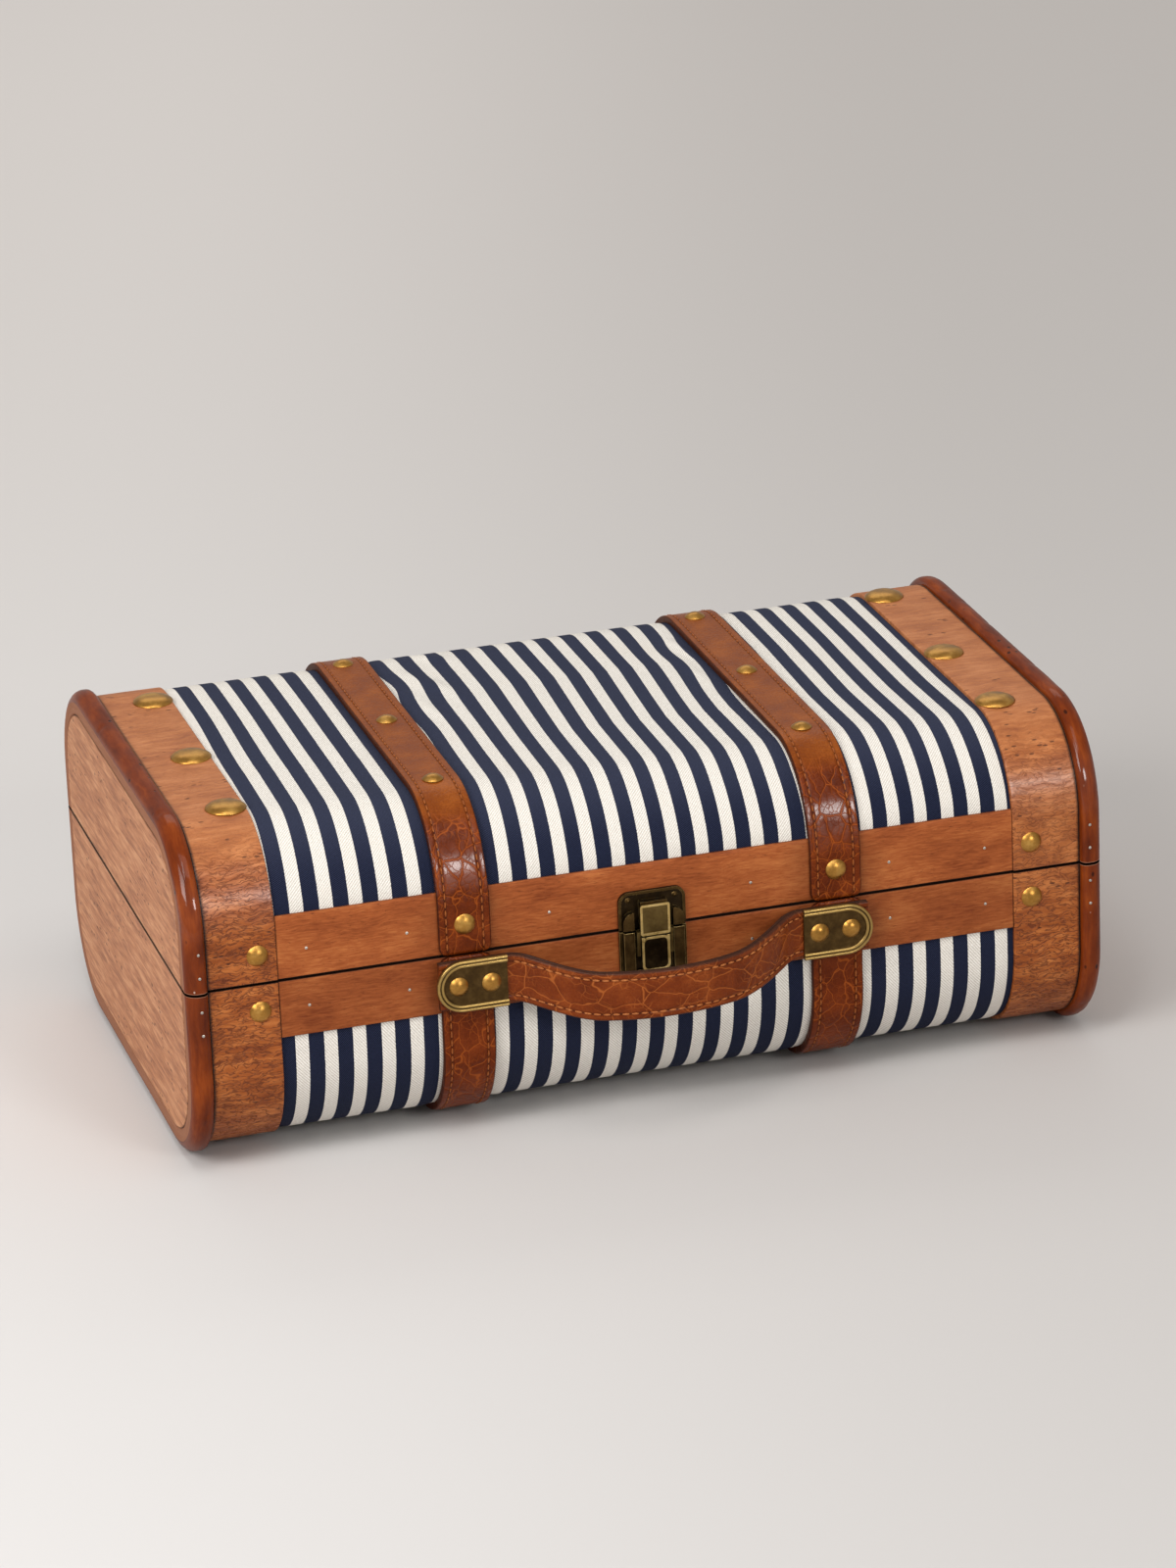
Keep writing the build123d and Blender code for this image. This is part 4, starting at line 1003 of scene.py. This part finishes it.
# %% [markdown]
# On the case each strap is one length of leather that is cut at the seam. Over the wooden band it
# lies high, and then it steps down to the cloth. Its stitches stand on the same route, so they
# follow each bend.
# %% Straps over both halves
def strap(side, half):
    """A strap over one half: its section at every station, 0.12 plus 0.10 of a ripple deeper. It dips
    by 0.28 where it steps off the band, and its ends are drawn in and rounded."""
    skin, stitches = Skin(), Skin()
    across, face = strap_section(STRAP_HALF, STRAP_FACE)
    close = np.linspace(0, STRAP_CORNER, 7)
    s = np.concatenate([stations(half, 0.0, LENGTH[half]), close, LENGTH[half] - close])
    s = np.unique(s)[:, None]
    end, reach = np.minimum(s, LENGTH[half] - s), band_reach(half)
    over_band = 1.0 - smooth(reach - 0.5, reach + 3.0, end)
    seed = 81 + (side > 0) + 2 * (half == "lid")
    wave = 0.10 * ripple(s / 12.0, across[None, :] / 7.0, seed) + 0.12
    dip = 0.28 * (1.0 - over_band) * (1.0 - smooth(reach + 6, reach + 22, end))
    end_round = 0.5 * (1.0 - smooth(0.0, 0.9, end)) ** 2
    x = narrowed(np.repeat(across[None, :], len(s), 0), STRAP_HALF, end, STRAP_CORNER)
    top = wrapped(half, s, side * STRAP_X + x, face[None, :] + wave + dip + end_round)
    back = np.where(end < reach, BAND_FACE, FABRIC_FACE + 0.15)
    low = wrapped(half, s, side * STRAP_X + x[:, ::-1][:, ::6], back)
    lay = spread(np.concatenate([across, across[::-1][::6]])[None, :] + LAY_STEP * seed, s)
    edge_dark = np.concatenate([np.abs(across) > STRAP_HALF - 0.35, np.ones(len(across[::6]))])
    worn = np.broadcast_to(edge_dark[None, :] * 0.8, lay.shape[:2])
    skin.add_sweep(np.concatenate([top, low], 1), lay, worn)
    skin.piece(f"{half}_leather_strap_{SIDES[side]}", STRAP_LEATHER, half, "strap_leather",
               [f"{half}_strap_{SIDES[side]}"])
    starts = np.arange(1, int((LENGTH[half] - STITCH_IN) / STITCH_PITCH)) * STITCH_PITCH
    for edge in (-1, 1):
        row = edge * (STRAP_HALF - STITCH_IN)
        along = starts[:, None] + STITCH_POINTS[None, :, 0] * STITCH_LONG / 2
        sideways = side * STRAP_X + row + STITCH_POINTS[None, :, 1] * 0.34
        height = STRAP_FACE + 0.26 - STITCH_POINTS[None, :, 2] * 0.34
        add_many(stitches, wrapped(half, along, sideways, height), STITCH_FACES)
    stitches.piece(f"{half}_strap_stitches_{SIDES[side]}", STRAP_THREAD, half, "strap_leather")


for half in ROUTES:
    for side in SIDES:
        strap(side, half)

# %% [markdown]
# The handle is a flat leather strap that bows away from the case between two brass plates and hangs
# a little in the middle. Its line is drawn by its direction alone: the outward angle at each length
# is a straight run, a bend one way, a long bow the other way, and the same again. Adding up the
# steps of that direction gives the line.
# %% The handle's line
HANDLE_SEAT, HANDLE_BOW, BEND, PLATE_END, HANDLE_END = 101.4, 22.0, 14.0, 56.0, 81.0
HANDLE_HALF, HANDLE_THICK, HANDLE_SPLIT, HANDLE_Z, HANDLE_DROOP = 9.1, 3.0, 1.4, 63.2, 5.5
HANDLE_STITCH_IN, HANDLE_CURL = 2.5, -0.25


def handle_line(count=240):
    """Lengths, seat points (x, y) and outward angles along the handle's line, from left to right."""
    centre = (PLATE_END ** 2 + HANDLE_BOW ** 2) / (2 * HANDLE_BOW)
    along, back = PLATE_END / centre, (centre - HANDLE_BOW) / centre
    tilt = math.pi / 2 - math.atan2(back, along)
    end_x, end_out = PLATE_END - BEND * along, BEND * (1 - back)
    sag = HANDLE_BOW - end_out
    bow = (end_x ** 2 + sag ** 2) / (2 * sag)
    straight, bend_long = HANDLE_END - PLATE_END, BEND * tilt
    bow_long = 2 * bow * math.asin(end_x / bow)
    knots = np.cumsum([0.0, straight, bend_long, bow_long, bend_long, straight])
    angles = 1.5 * math.pi + np.array([0.0, 0.0, -tilt, tilt, 0.0, 0.0])
    fine = np.linspace(0, knots[-1], 6001)
    turn = np.interp(fine, knots, angles)
    step = fine[1]
    middle = (turn[1:] + turn[:-1]) / 2 + math.pi / 2
    x = -HANDLE_END + np.concatenate([[0], np.cumsum(np.cos(middle) * step)])
    y = -HANDLE_SEAT + np.concatenate([[0], np.cumsum(np.sin(middle) * step)])
    length = np.linspace(0, knots[-1], count)
    return length, np.interp(length, fine, x), np.interp(length, fine, y), np.interp(length, fine, turn)


LINE_S, LINE_X, LINE_Y, LINE_TURN = handle_line()
print(f"the handle's line is {LINE_S[-1]:.1f} mm long")


def on_handle(s, up, out):
    """Points of the handle: the line's point at length s, raised by up less the droop, and moved
    out."""
    x, y, turn = (np.interp(s, LINE_S, v) for v in (LINE_X, LINE_Y, LINE_TURN))
    droop = HANDLE_DROOP * (1.0 - smooth(24.0, 56.0, np.abs(x)))
    return spread(x + out * np.cos(turn), y + out * np.sin(turn), HANDLE_Z + up - droop)

# %% [markdown]
# The face leather and the backing are two layers, and where they meet a fine notch runs along the
# edge. Both could be flat pieces bent by a modifier. Carrying one section along the line gives the
# notch, the worn edges and the stitches in one go.
# %% The handle's leather
def handle():
    """The handle: a closed section (up, out) at every length of its line, with a notch where the face
    meets the backing. The face waves by 0.16 of a ripple, the edges by 0.10 of another, and between the
    plates the edges curl back by 0.25 (up / half width)^2."""
    skin, stitches = Skin(), Skin()
    up, depth = strap_section(HANDLE_HALF, 0.0, valley=0.30, row=HANDLE_STITCH_IN)
    out_face = HANDLE_THICK - depth
    split = np.array([HANDLE_THICK - 0.9, HANDLE_SPLIT + 0.25, HANDLE_SPLIT, HANDLE_SPLIT - 0.25,
                      0.4, 0.0])
    inward = np.array([0.0, 0.0, 0.35, 0.0, 0.0, 0.3])
    right_up, left_up = HANDLE_HALF - inward, -HANDLE_HALF + inward[::-1]
    back_up = np.linspace(HANDLE_HALF - 1.0, -HANDLE_HALF + 1.0, 9)
    loop_up = np.concatenate([up, right_up, back_up, left_up])[None, :]
    loop_out = np.concatenate([out_face, split, np.full(9, 0.0), split[::-1]])[None, :]
    s = LINE_S[:, None]
    from_middle, on_face = np.abs(LINE_X)[:, None], loop_out > HANDLE_THICK - 0.7
    wave = 0.16 * ripple(s / 10.0, loop_up / 6.0, 91) * on_face
    edge = np.sign(loop_up) * (np.abs(loop_up) > HANDLE_HALF - 1.2)
    edge_wave = 0.10 * ripple(s / 8.0, 0.0, 92) * edge
    curl = HANDLE_CURL * (loop_up / HANDLE_HALF) ** 2 * smooth(60.0, 45.0, from_middle)
    under_plate = from_middle > PLATE_END - 0.5
    shape = np.where(under_plate, 0.0, wave + curl) - 0.05 * on_face
    points = on_handle(s, loop_up + np.where(under_plate, 0.0, edge_wave), loop_out + shape)
    lay = spread(loop_up + LAY_STEP * 11, s)
    face_edge = 0.8 * smooth(HANDLE_HALF - 0.9, HANDLE_HALF - 0.1, np.abs(up))
    dark = np.concatenate([face_edge, np.ones(6) * 0.9, np.full(9, 0.5), np.ones(6) * 0.9])
    skin.add_sweep(points, lay, np.broadcast_to(dark[None, :], lay.shape[:2]))
    skin.piece("bowed_handle", HANDLE_LEATHER, "base", "handle_leather",
               ["handle_face", "handle_backing"])
    free = LINE_S[np.abs(LINE_X) < PLATE_END - 2.0]
    starts = np.arange(int(free[0] / STITCH_PITCH) + 1, free[-1] / STITCH_PITCH) * STITCH_PITCH
    for edge in (-1, 1):
        along = starts[:, None] + STITCH_POINTS[None, :, 0] * 1.2
        row = edge * (HANDLE_HALF - HANDLE_STITCH_IN) + STITCH_POINTS[None, :, 1] * 0.38
        bent = HANDLE_CURL * (row / HANDLE_HALF) ** 2
        out = HANDLE_THICK - 0.30 + bent + STITCH_POINTS[None, :, 2] * 0.36
        add_many(stitches, on_handle(along, row, out), STITCH_FACES)
    stitches.piece("handle_stitches", HANDLE_THREAD, "base", "handle_leather")


handle()

# %% [markdown]
# A D-shaped plate holds each end of the handle. It is stamped from one sheet: two rolled beads run
# round its outer edge with a line between them, and the field inside is flat. Its section runs from
# the edge to the middle line, and is carried along a U: straight, round the end, and straight back.
# %% Handle plates
PLATE_OUTER, PLATE_HALF, PLATE_THICK = 82.4, 9.9, 0.8
# Each point of the section: distance in from the edge, height, and how rubbed it is.
BEAD_SECTION = np.array([
    (0.0, 0.0, 0.3), (0.0, 0.9, 0.5), (0.08, 1.25, 0.7), (0.28, 1.6, 1.0), (0.6, 1.78, 1.0),
    (0.95, 1.72, 0.7), (1.2, 1.5, 0.2), (1.32, 1.38, 0.0), (1.5, 1.5, 0.3), (1.8, 1.7, 0.8),
    (2.15, 1.74, 0.9), (2.5, 1.55, 0.6), (2.75, 1.2, 0.2), (2.9, 0.86, -0.3), (3.1, 0.8, -0.4),
    (3.6, 0.8, 0.0), (6.5, 0.8, 0.1), (10.4, 0.8, 0.1), (10.4, 0.0, 0.0)])


def u_path(steps=28):
    """Points of a D and their outward directions: along the bottom, round the end, along the top."""
    arc_x = PLATE_OUTER - PLATE_HALF
    turn = np.radians(np.linspace(-90, 90, steps))
    straight = np.linspace(PLATE_END, arc_x, 8)[:-1]
    low, high = np.full(len(straight), -1.0), np.full(len(straight), 1.0)
    out_x = np.concatenate([low * 0.0, np.cos(turn), high * 0.0])
    out_z = np.concatenate([low, np.sin(turn), high])
    x = np.concatenate([straight, np.full(steps, arc_x), straight[::-1]]) + PLATE_HALF * out_x
    return x, PLATE_HALF * out_z, out_x, out_z


def handle_plate(side):
    """One plate: at each point of the U the section goes inward by its distance and stands out by its
    height, less a dent of 0.05 of a ripple."""
    skin = Skin()
    x, z, out_x, out_z = (v[:, None] for v in u_path())
    inset, height, worn = (column[None, :] for column in BEAD_SECTION.T)
    face_y = -(HANDLE_SEAT + HANDLE_THICK)
    px, pz = x - out_x * inset, z - out_z * inset
    dent = 0.05 * ripple(px / 3.0, pz / 3.0, 95 + side) * (height > 0.5)
    points = spread(side * px, face_y - height + dent, HANDLE_Z + pz)
    skin.add_sweep(points, None, np.broadcast_to(worn, points.shape[:2]))
    skin.piece(f"brass_plate_{SIDES[side]}", PLATE_BRASS, "base", "antique_brass",
               [f"handle_plate_{SIDES[side]}"], weld=True)


for side in SIDES:
    handle_plate(side)

# %% [markdown]
# Domed nails, rivets and pins are turned shapes: a section (radius, height) spun round an axis. A
# small head is almost the cap of a ball. A large one is stamped flatter and falls steeply at its
# rim, which catches the light as a bright crescent. Each nail stands on a point of the surface with
# its own outward direction, so one function places them all.
# %% Domed heads
FRONT, BACK, UP = (0, -1, 0), (0, 1, 0), (0, 0, 1)
FOOT_DEPTH, SLOT_DEPTH, SLOT_HALF = 0.25, 0.45, 0.32
SHEET = 1.0   # how thick the plates of the latch and the leaves of the hinges are
LARGE_HEAD = 5.0   # heads with a larger radius are stamped flatter
# Each head: radius, height, finish, slot, points around, and whether it is slotted like a screw.
HEADS = {"large": (7.6, 2.4, BRIGHT_BRASS, "bright_brass", 56, False),
         "small": (4.0, 1.9, BRIGHT_BRASS, "bright_brass", 40, False),
         "stud": (3.9, 1.7, BRIGHT_BRASS, "bright_brass", 40, False),
         "rivet": (3.6, 1.8, BRIGHT_BRASS, "bright_brass", 40, False),
         "brad": (0.55, 0.2, PALE_STEEL, "pale_steel", 12, False),
         "screw": (1.9, 0.8, BRIGHT_BRASS, "antique_brass", 32, True),
         "tack": (1.1, 0.5, PLATE_BRASS, "antique_brass", 20, False)}


def dome_section(radius, height, steps=14):
    """A dome with its foot let into the surface: height (1 - r^2.05)^0.92, almost a cap of a ball, or
    for a large head height (1 - r^2.6)^0.68, which has a flatter top and a steeper rim."""
    r = np.sin(np.linspace(0, math.pi / 2, steps))
    power, steep = (2.6, 0.68) if radius > LARGE_HEAD else (2.05, 0.92)
    rise = height * (1 - r ** power) ** steep
    return np.concatenate([r[1:] * radius, [radius * 0.99]]), np.concatenate([rise[1:], [-FOOT_DEPTH]])


def turned(skin, place, normal, radius, height, around, seed, slotted):
    """Spin a dome's section round the outward direction at a place, with a pole on top, a flat foot,
    and dents of 0.012 of the height. A slot is cut where a line across the head is less than half its
    width away."""
    radii, rise = dome_section(radius, height)
    place, normal = np.array(place, float), np.array(normal, float)
    first = np.array([1.0, 0, 0])
    second = np.cross(normal, first)
    turn = np.linspace(0, 2 * math.pi, around, endpoint=False)[None, :]
    r, h = radii[:, None], rise[:, None]
    a, b = r * np.cos(turn), r * np.sin(turn)
    h = h + 0.012 * height * ripple(a / radius * 2.2, b / radius * 2.2, seed) * (h > 0.05)
    if slotted:
        across = np.abs(a * math.cos(seed) + b * math.sin(seed))
        h = h - SLOT_DEPTH * (across < SLOT_HALF) * (r < radius * 0.9) * (h > 0.2)
    rings = place + a[..., None] * first + b[..., None] * second + h[..., None] * normal
    pole = place + normal * (height - SLOT_DEPTH * slotted)
    points = np.concatenate([rings.reshape(-1, 3), [pole]])
    rows, ring = len(radii), np.arange(around)
    cap = np.stack([np.full(around, rows * around), ring, (ring + 1) % around], -1)
    foot = ((rows - 1) * around + ring)[::-1][None, :]
    rubbed = 0.5 * smooth(0.5, 0.0, radii / radius) + 0.5 * smooth(0.8, 1.0, radii / radius)
    worn = np.concatenate([np.repeat(rubbed, around), [0.6]])
    skin.add(points, [grid_faces(rows, around, True), cap[:, ::-1], foot], None, worn)


print("kinds of heads:", ", ".join(HEADS))

# %% [markdown]
# The nails stand in rows that run along the case at fixed distances from the seam. A row is a list
# of places, each with its outward direction. The large ones on top were set by eye and are a little
# uneven, and so are they here.
# %% Rows of nails, rivets and pins
def on_walls(xs, z, inset, normals=(FRONT, BACK)):
    """Places on the front and back walls, each with its outward direction."""
    return [((x, n[1] * (CASE_DEPTH / 2 - inset), z), n) for n in normals for x in xs]


def on_top(xs, ys, inset):
    """Places on top of the lid, each with its direction up."""
    return [((x, y, CASE_HEIGHT - inset), UP) for x in xs for y in ys]


def nails(name, node, body, head, places):
    """One piece with a head of this kind at every place."""
    radius, height, finish, slot, around, slotted = HEADS[head]
    skin = Skin()
    for i, (place, normal) in enumerate(places):
        turned(skin, place, normal, radius, height, around, 100 + i, slotted)
    skin.piece(name, finish, body, slot, [node], crease=60.0)


# Rows, by their distance from the seam, and places along the rows.
NAIL_ROW, STUD_ROW, BRAD_ROW, SCREW_ROW, TRIM_ROWS = 10.8, 12.0, 11.0, 12.5, (6.5, 15.5)
BRAD_XS = (-128.0, -91.0, -38.0, 38.0, 91.0, 128.0)
SCREW_XS = (-120.0, -110.0, -100.0, 100.0, 110.0, 120.0)
TACKS = {"lid": (8.8, 11.4), "base": (8.6, -17.25)}   # across from the middle, and up from the seam
STRIP_XS, STRAP_XS, TRIM_XS = (-146.0, 146.0), (-STRAP_X, STRAP_X), (-TRIM_BRAD_X, TRIM_BRAD_X)
LARGE_YS, STUD_YS = ((-62.0, -7.0, 56.0), (-63.0, -7.0, 62.0)), (-65.0, 0.0, 65.0)
RIVET_XS, RIVET_Y = (62.0, 74.2), -(HANDLE_SEAT + HANDLE_THICK + PLATE_THICK)

nails("large_top_nails", "lid_top_nails", "lid", "large",
      [place for x, ys in zip(STRIP_XS, LARGE_YS) for place in on_top((x,), ys, STRIP_FACE)])
for half, way in HALVES:
    nails(f"{half}_corner_nails", f"{half}_strip_nails", half, "small",
          on_walls(STRIP_XS, SEAM + way * NAIL_ROW, STRIP_FACE))
nails("lid_strap_studs", "lid_strap_nails", "lid", "stud",
      on_top(STRAP_XS, STUD_YS, STRAP_FACE) + on_walls(STRAP_XS, SEAM + STUD_ROW, STRAP_FACE))
nails("base_strap_studs", "base_strap_nails", "base", "stud",
      on_walls(STRAP_XS, SEAM - NAIL_ROW, STRAP_FACE, (BACK,)))
nails("handle_plate_rivets", "handle_rivets", "base", "rivet",
      [((side * x, RIVET_Y, HANDLE_Z), FRONT) for side in SIDES for x in RIVET_XS])
for half, way in HALVES:
    nails(f"{half}_band_pins", f"{half}_band_brads", half, "brad",
          on_walls(BRAD_XS, SEAM + way * BRAD_ROW, BAND_FACE))
    nails(f"{half}_moulding_pins", f"{half}_trim_brads", half, "brad",
          [place for row in TRIM_ROWS for place in on_walls(TRIM_XS, SEAM + way * row, 0.0)])
    nails(f"hinge_{half}_screw_heads", f"hinge_{half}_screws", half, "screw",
          on_walls(SCREW_XS, SEAM + way * SCREW_ROW, BAND_FACE - SHEET, (BACK,)))
for half, (x, up) in TACKS.items():
    nails(f"latch_{half}_pins", f"latch_{half}_tacks", half, "tack",
          on_walls((-x, x), SEAM + up, BAND_FACE - SHEET, (FRONT,)))

# %% [markdown]
# The latch and the hinges are small pressed and folded parts. Their CAD shapes are right, so copies
# of them are merged into closed meshes and their sharp edges are rounded. The rounding and the
# raised rims get a brighter brass of their own, as edges that are handled are rubbed bright first.
# A raised rim is found by how far its face stands out from the wooden band.
# %% Latch and hinges
def softened(name, node, width, finishes, raised=()):
    """A copy of a CAD node: points merged, flat faces joined, and the edges rounded in the second
    finish. Raised says, in pairs, how far out from the wooden band a front face lies and which finish
    it gets."""
    source = frame["nodes"][node]
    mesh = source.data.copy()
    mesh.materials.clear()
    merged = bmesh.new()
    merged.from_mesh(mesh)
    bmesh.ops.remove_doubles(merged, verts=merged.verts, dist=2 * SAME_POINT)
    bmesh.ops.dissolve_limit(merged, angle_limit=math.radians(1.0), verts=merged.verts,
                             edges=merged.edges)
    band_y = (MIDDLE_Y - CASE_DEPTH / 2 + BAND_FACE) * MM
    for face in merged.faces:
        out = (band_y - face.calc_center_median().y) / MM
        for distance, number in raised:
            if face.normal.y < -0.9 and abs(out - distance) < 0.06:
                face.material_index = number
    merged.to_mesh(mesh)
    merged.free()
    made = dress(name, mesh, finishes, source["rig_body"], [node], crease=35.0)
    bevel = made.modifiers.new("rounded edges", "BEVEL")
    bevel.width, bevel.segments, bevel.limit_method = width * MM, 3, "ANGLE"
    bevel.angle_limit, bevel.material, bevel.use_clamp_overlap = math.radians(35), 1, True
    return made


DARK, PAD, HINGE = (DARK_BRASS, RUBBED_BRASS), (PAD_BRASS, RUBBED_BRASS), (PLATE_BRASS, RUBBED_BRASS)
LATCH_PLATE = (DARK_BRASS, RUBBED_BRASS, PLATE_BRASS)
softened("latch_top_plate", "latch_catch_plate", 0.5, LATCH_PLATE, ((1.6, 2), (3.5, 2), (3.9, 2)))
softened("latch_lower_plate", "latch_base_plate", 0.5, LATCH_PLATE, ((1.6, 2), (2.6, 1), (3.5, 2)))
softened("latch_lever_face", "latch_lever", 0.2, DARK, ((5.3, 1),))
softened("latch_hasp_face", "latch_hasp", 0.2, PAD, ((5.3, 1),))
softened("latch_lever_axle", "latch_lever_pins", 0.08, DARK)
softened("latch_hasp_axle", "latch_hasp_pins", 0.08, DARK)
for where in SIDES.values():
    for half in ROUTES:
        softened(f"hinge_{half}_plate_{where}", f"hinge_{half}_leaf_{where}", 0.2, HINGE)
    softened(f"hinge_axle_{where}", f"hinge_pin_{where}", 0.15, HINGE)

# %% [markdown]
# The shells, linings and end boards keep their CAD shapes. They get procedural finishes that read
# object coordinates, because the CAD meshes have no flat material of their own.
# %% Finishes for the CAD nodes that stay
for half in ROUTES:
    for node, finish in (("shell", PLYWOOD), ("lining", LINING),
                         ("end_board_left", BOARD_WOOD), ("end_board_right", BOARD_WOOD)):
        mesh = frame["nodes"][f"{half}_{node}"].data
        mesh.materials.clear()
        mesh.materials.append(finish)
        print(f"{half}_{node}: {finish.name}")

# %% [markdown]
# The case stands on a seamless pale floor. It could be a bent sheet of paper, but the camera looks
# down, so a wide flat floor fills the whole view. Its colour is painted brighter from near to far,
# and painted darker to the right as painted shade.
# %% Floor
def floor():
    """A wide flat floor whose colour is painted brighter from near to far, and painted darker toward the
    right as painted shade.
    """
    p = Paint("pale_floor")
    where = p.place()
    # Painted light: brighter far away, and painted shade toward the right.
    far = p.axis(where, "Y").between(-0.6, 1.6)
    shaded = (p.axis(where, "X") - p.axis(where, "Y") * 0.28).between(-0.28, 0.24)
    colour = p.mix(shaded, p.mix(far, "cecccb", "e6e1dd"), p.mix(far, "bebbb9", "d0cbc7"))
    material = p.finish(Base_Color=colour, Roughness=0.9, Specular_IOR_Level=0.1)
    mesh = bpy.data.meshes.new("pale_floor")
    mesh.from_pydata([(-6, -4, 0), (6, -4, 0), (6, 9, 0), (-6, 9, 0)], [], [(0, 1, 2, 3)])
    mesh.materials.append(material)
    made = bpy.data.objects.new("pale_floor", mesh)
    bpy.context.scene.collection.objects.link(made)
    print("floor", tuple(round(side, 1) for side in made.dimensions))


floor()

# %% [markdown]
# Soft light on a real table comes from windows and pale walls, and large rectangular lamps give the
# same soft edge to the shadow. One stands on the left, others hang overhead, in front and over the
# floor behind, and the pale surroundings fill the shadows. One narrow lamp puts the bright streak
# on the glossy bends. Their strengths are set so that a colour shows about as it is written.
# %% Lamps
def lamp(name, place, target, size, power):
    """A rectangular lamp at a place, turned toward its target."""
    data = bpy.data.lights.new(name, "AREA")
    data.shape, data.size, data.size_y = "RECTANGLE", size[0], size[1]
    data.energy, data.color = power, (1.0, 0.985, 0.965)
    made = bpy.data.objects.new(name, data)
    made.location = place
    made.rotation_euler = (Vector(target) - Vector(place)).to_track_quat("-Z", "Y").to_euler()
    bpy.context.scene.collection.objects.link(made)
    print(f"{name}: {power} W")


lamp("key_softbox", (-1.15, -0.8, 1.1), (0, 0, 0.08), (0.8, 0.8), 16.2)
lamp("overhead_softbox", (-0.1, -0.6, 1.6), (0, 0, 0.1), (1.2, 0.7), 6.5)
lamp("front_softbox", (0.5, -1.75, 0.95), (0, 0, 0.06), (0.5, 0.4), 9.6)
lamp("backdrop_softbox", (0.3, 1.9, 1.8), (0.3, 1.6, 0), (1.8, 1.0), 9.0)
lamp("bright_strip", (-0.35, -0.75, 1.5), (0, -0.05, 0.1), (0.12, 0.5), 2.6)

world = bpy.data.worlds.new("pale_room")
world.use_nodes = True
room = world.node_tree.nodes["Background"]
room.inputs["Color"].default_value = (1.0, 0.985, 0.97, 1.0)
room.inputs["Strength"].default_value = 0.45
bpy.context.scene.world = world
bpy.context.scene.view_settings.view_transform = "Standard"

# %% [markdown]
# The camera's place was worked out from corners, nails and the seam of the case, because straight
# edges show how strongly the view narrows. It is given by two angles, a slight roll and a distance,
# and a long lens.
# %% Camera
FOCAL_PIXELS, LONG_SIDE, SENSOR, DISTANCE = 6214.33, 1600.0, 36.0, 2.28209
AZIMUTH, ELEVATION, ROLL = (math.radians(angle) for angle in (-15.7, 21.06, -2.31))
TARGET = Vector((0.00557, -0.00271 + MIDDLE_Y * MM, 0.09274))
back = Vector((math.sin(AZIMUTH) * math.cos(ELEVATION),
               -math.cos(AZIMUTH) * math.cos(ELEVATION), math.sin(ELEVATION)))
level_right = (-back).cross(Vector((0, 0, 1))).normalized()
level_up = level_right.cross(-back)
right = math.cos(ROLL) * level_right + math.sin(ROLL) * level_up
above = -math.sin(ROLL) * level_right + math.cos(ROLL) * level_up
camera_data = bpy.data.cameras.new("camera")
camera_data.lens, camera_data.sensor_width = FOCAL_PIXELS / LONG_SIDE * SENSOR, SENSOR
camera_data.sensor_fit = "AUTO"
camera_data.clip_start, camera_data.clip_end = 0.05, 60.0
camera = bpy.data.objects.new("camera", camera_data)
axes = Matrix((right, above, back)).transposed().to_4x4()
camera.matrix_world = Matrix.Translation(TARGET + back * DISTANCE) @ axes
bpy.context.scene.collection.objects.link(camera)
bpy.context.scene.camera = camera
print(f"camera {DISTANCE:.2f} m away with a lens of {camera_data.lens:.0f} mm")
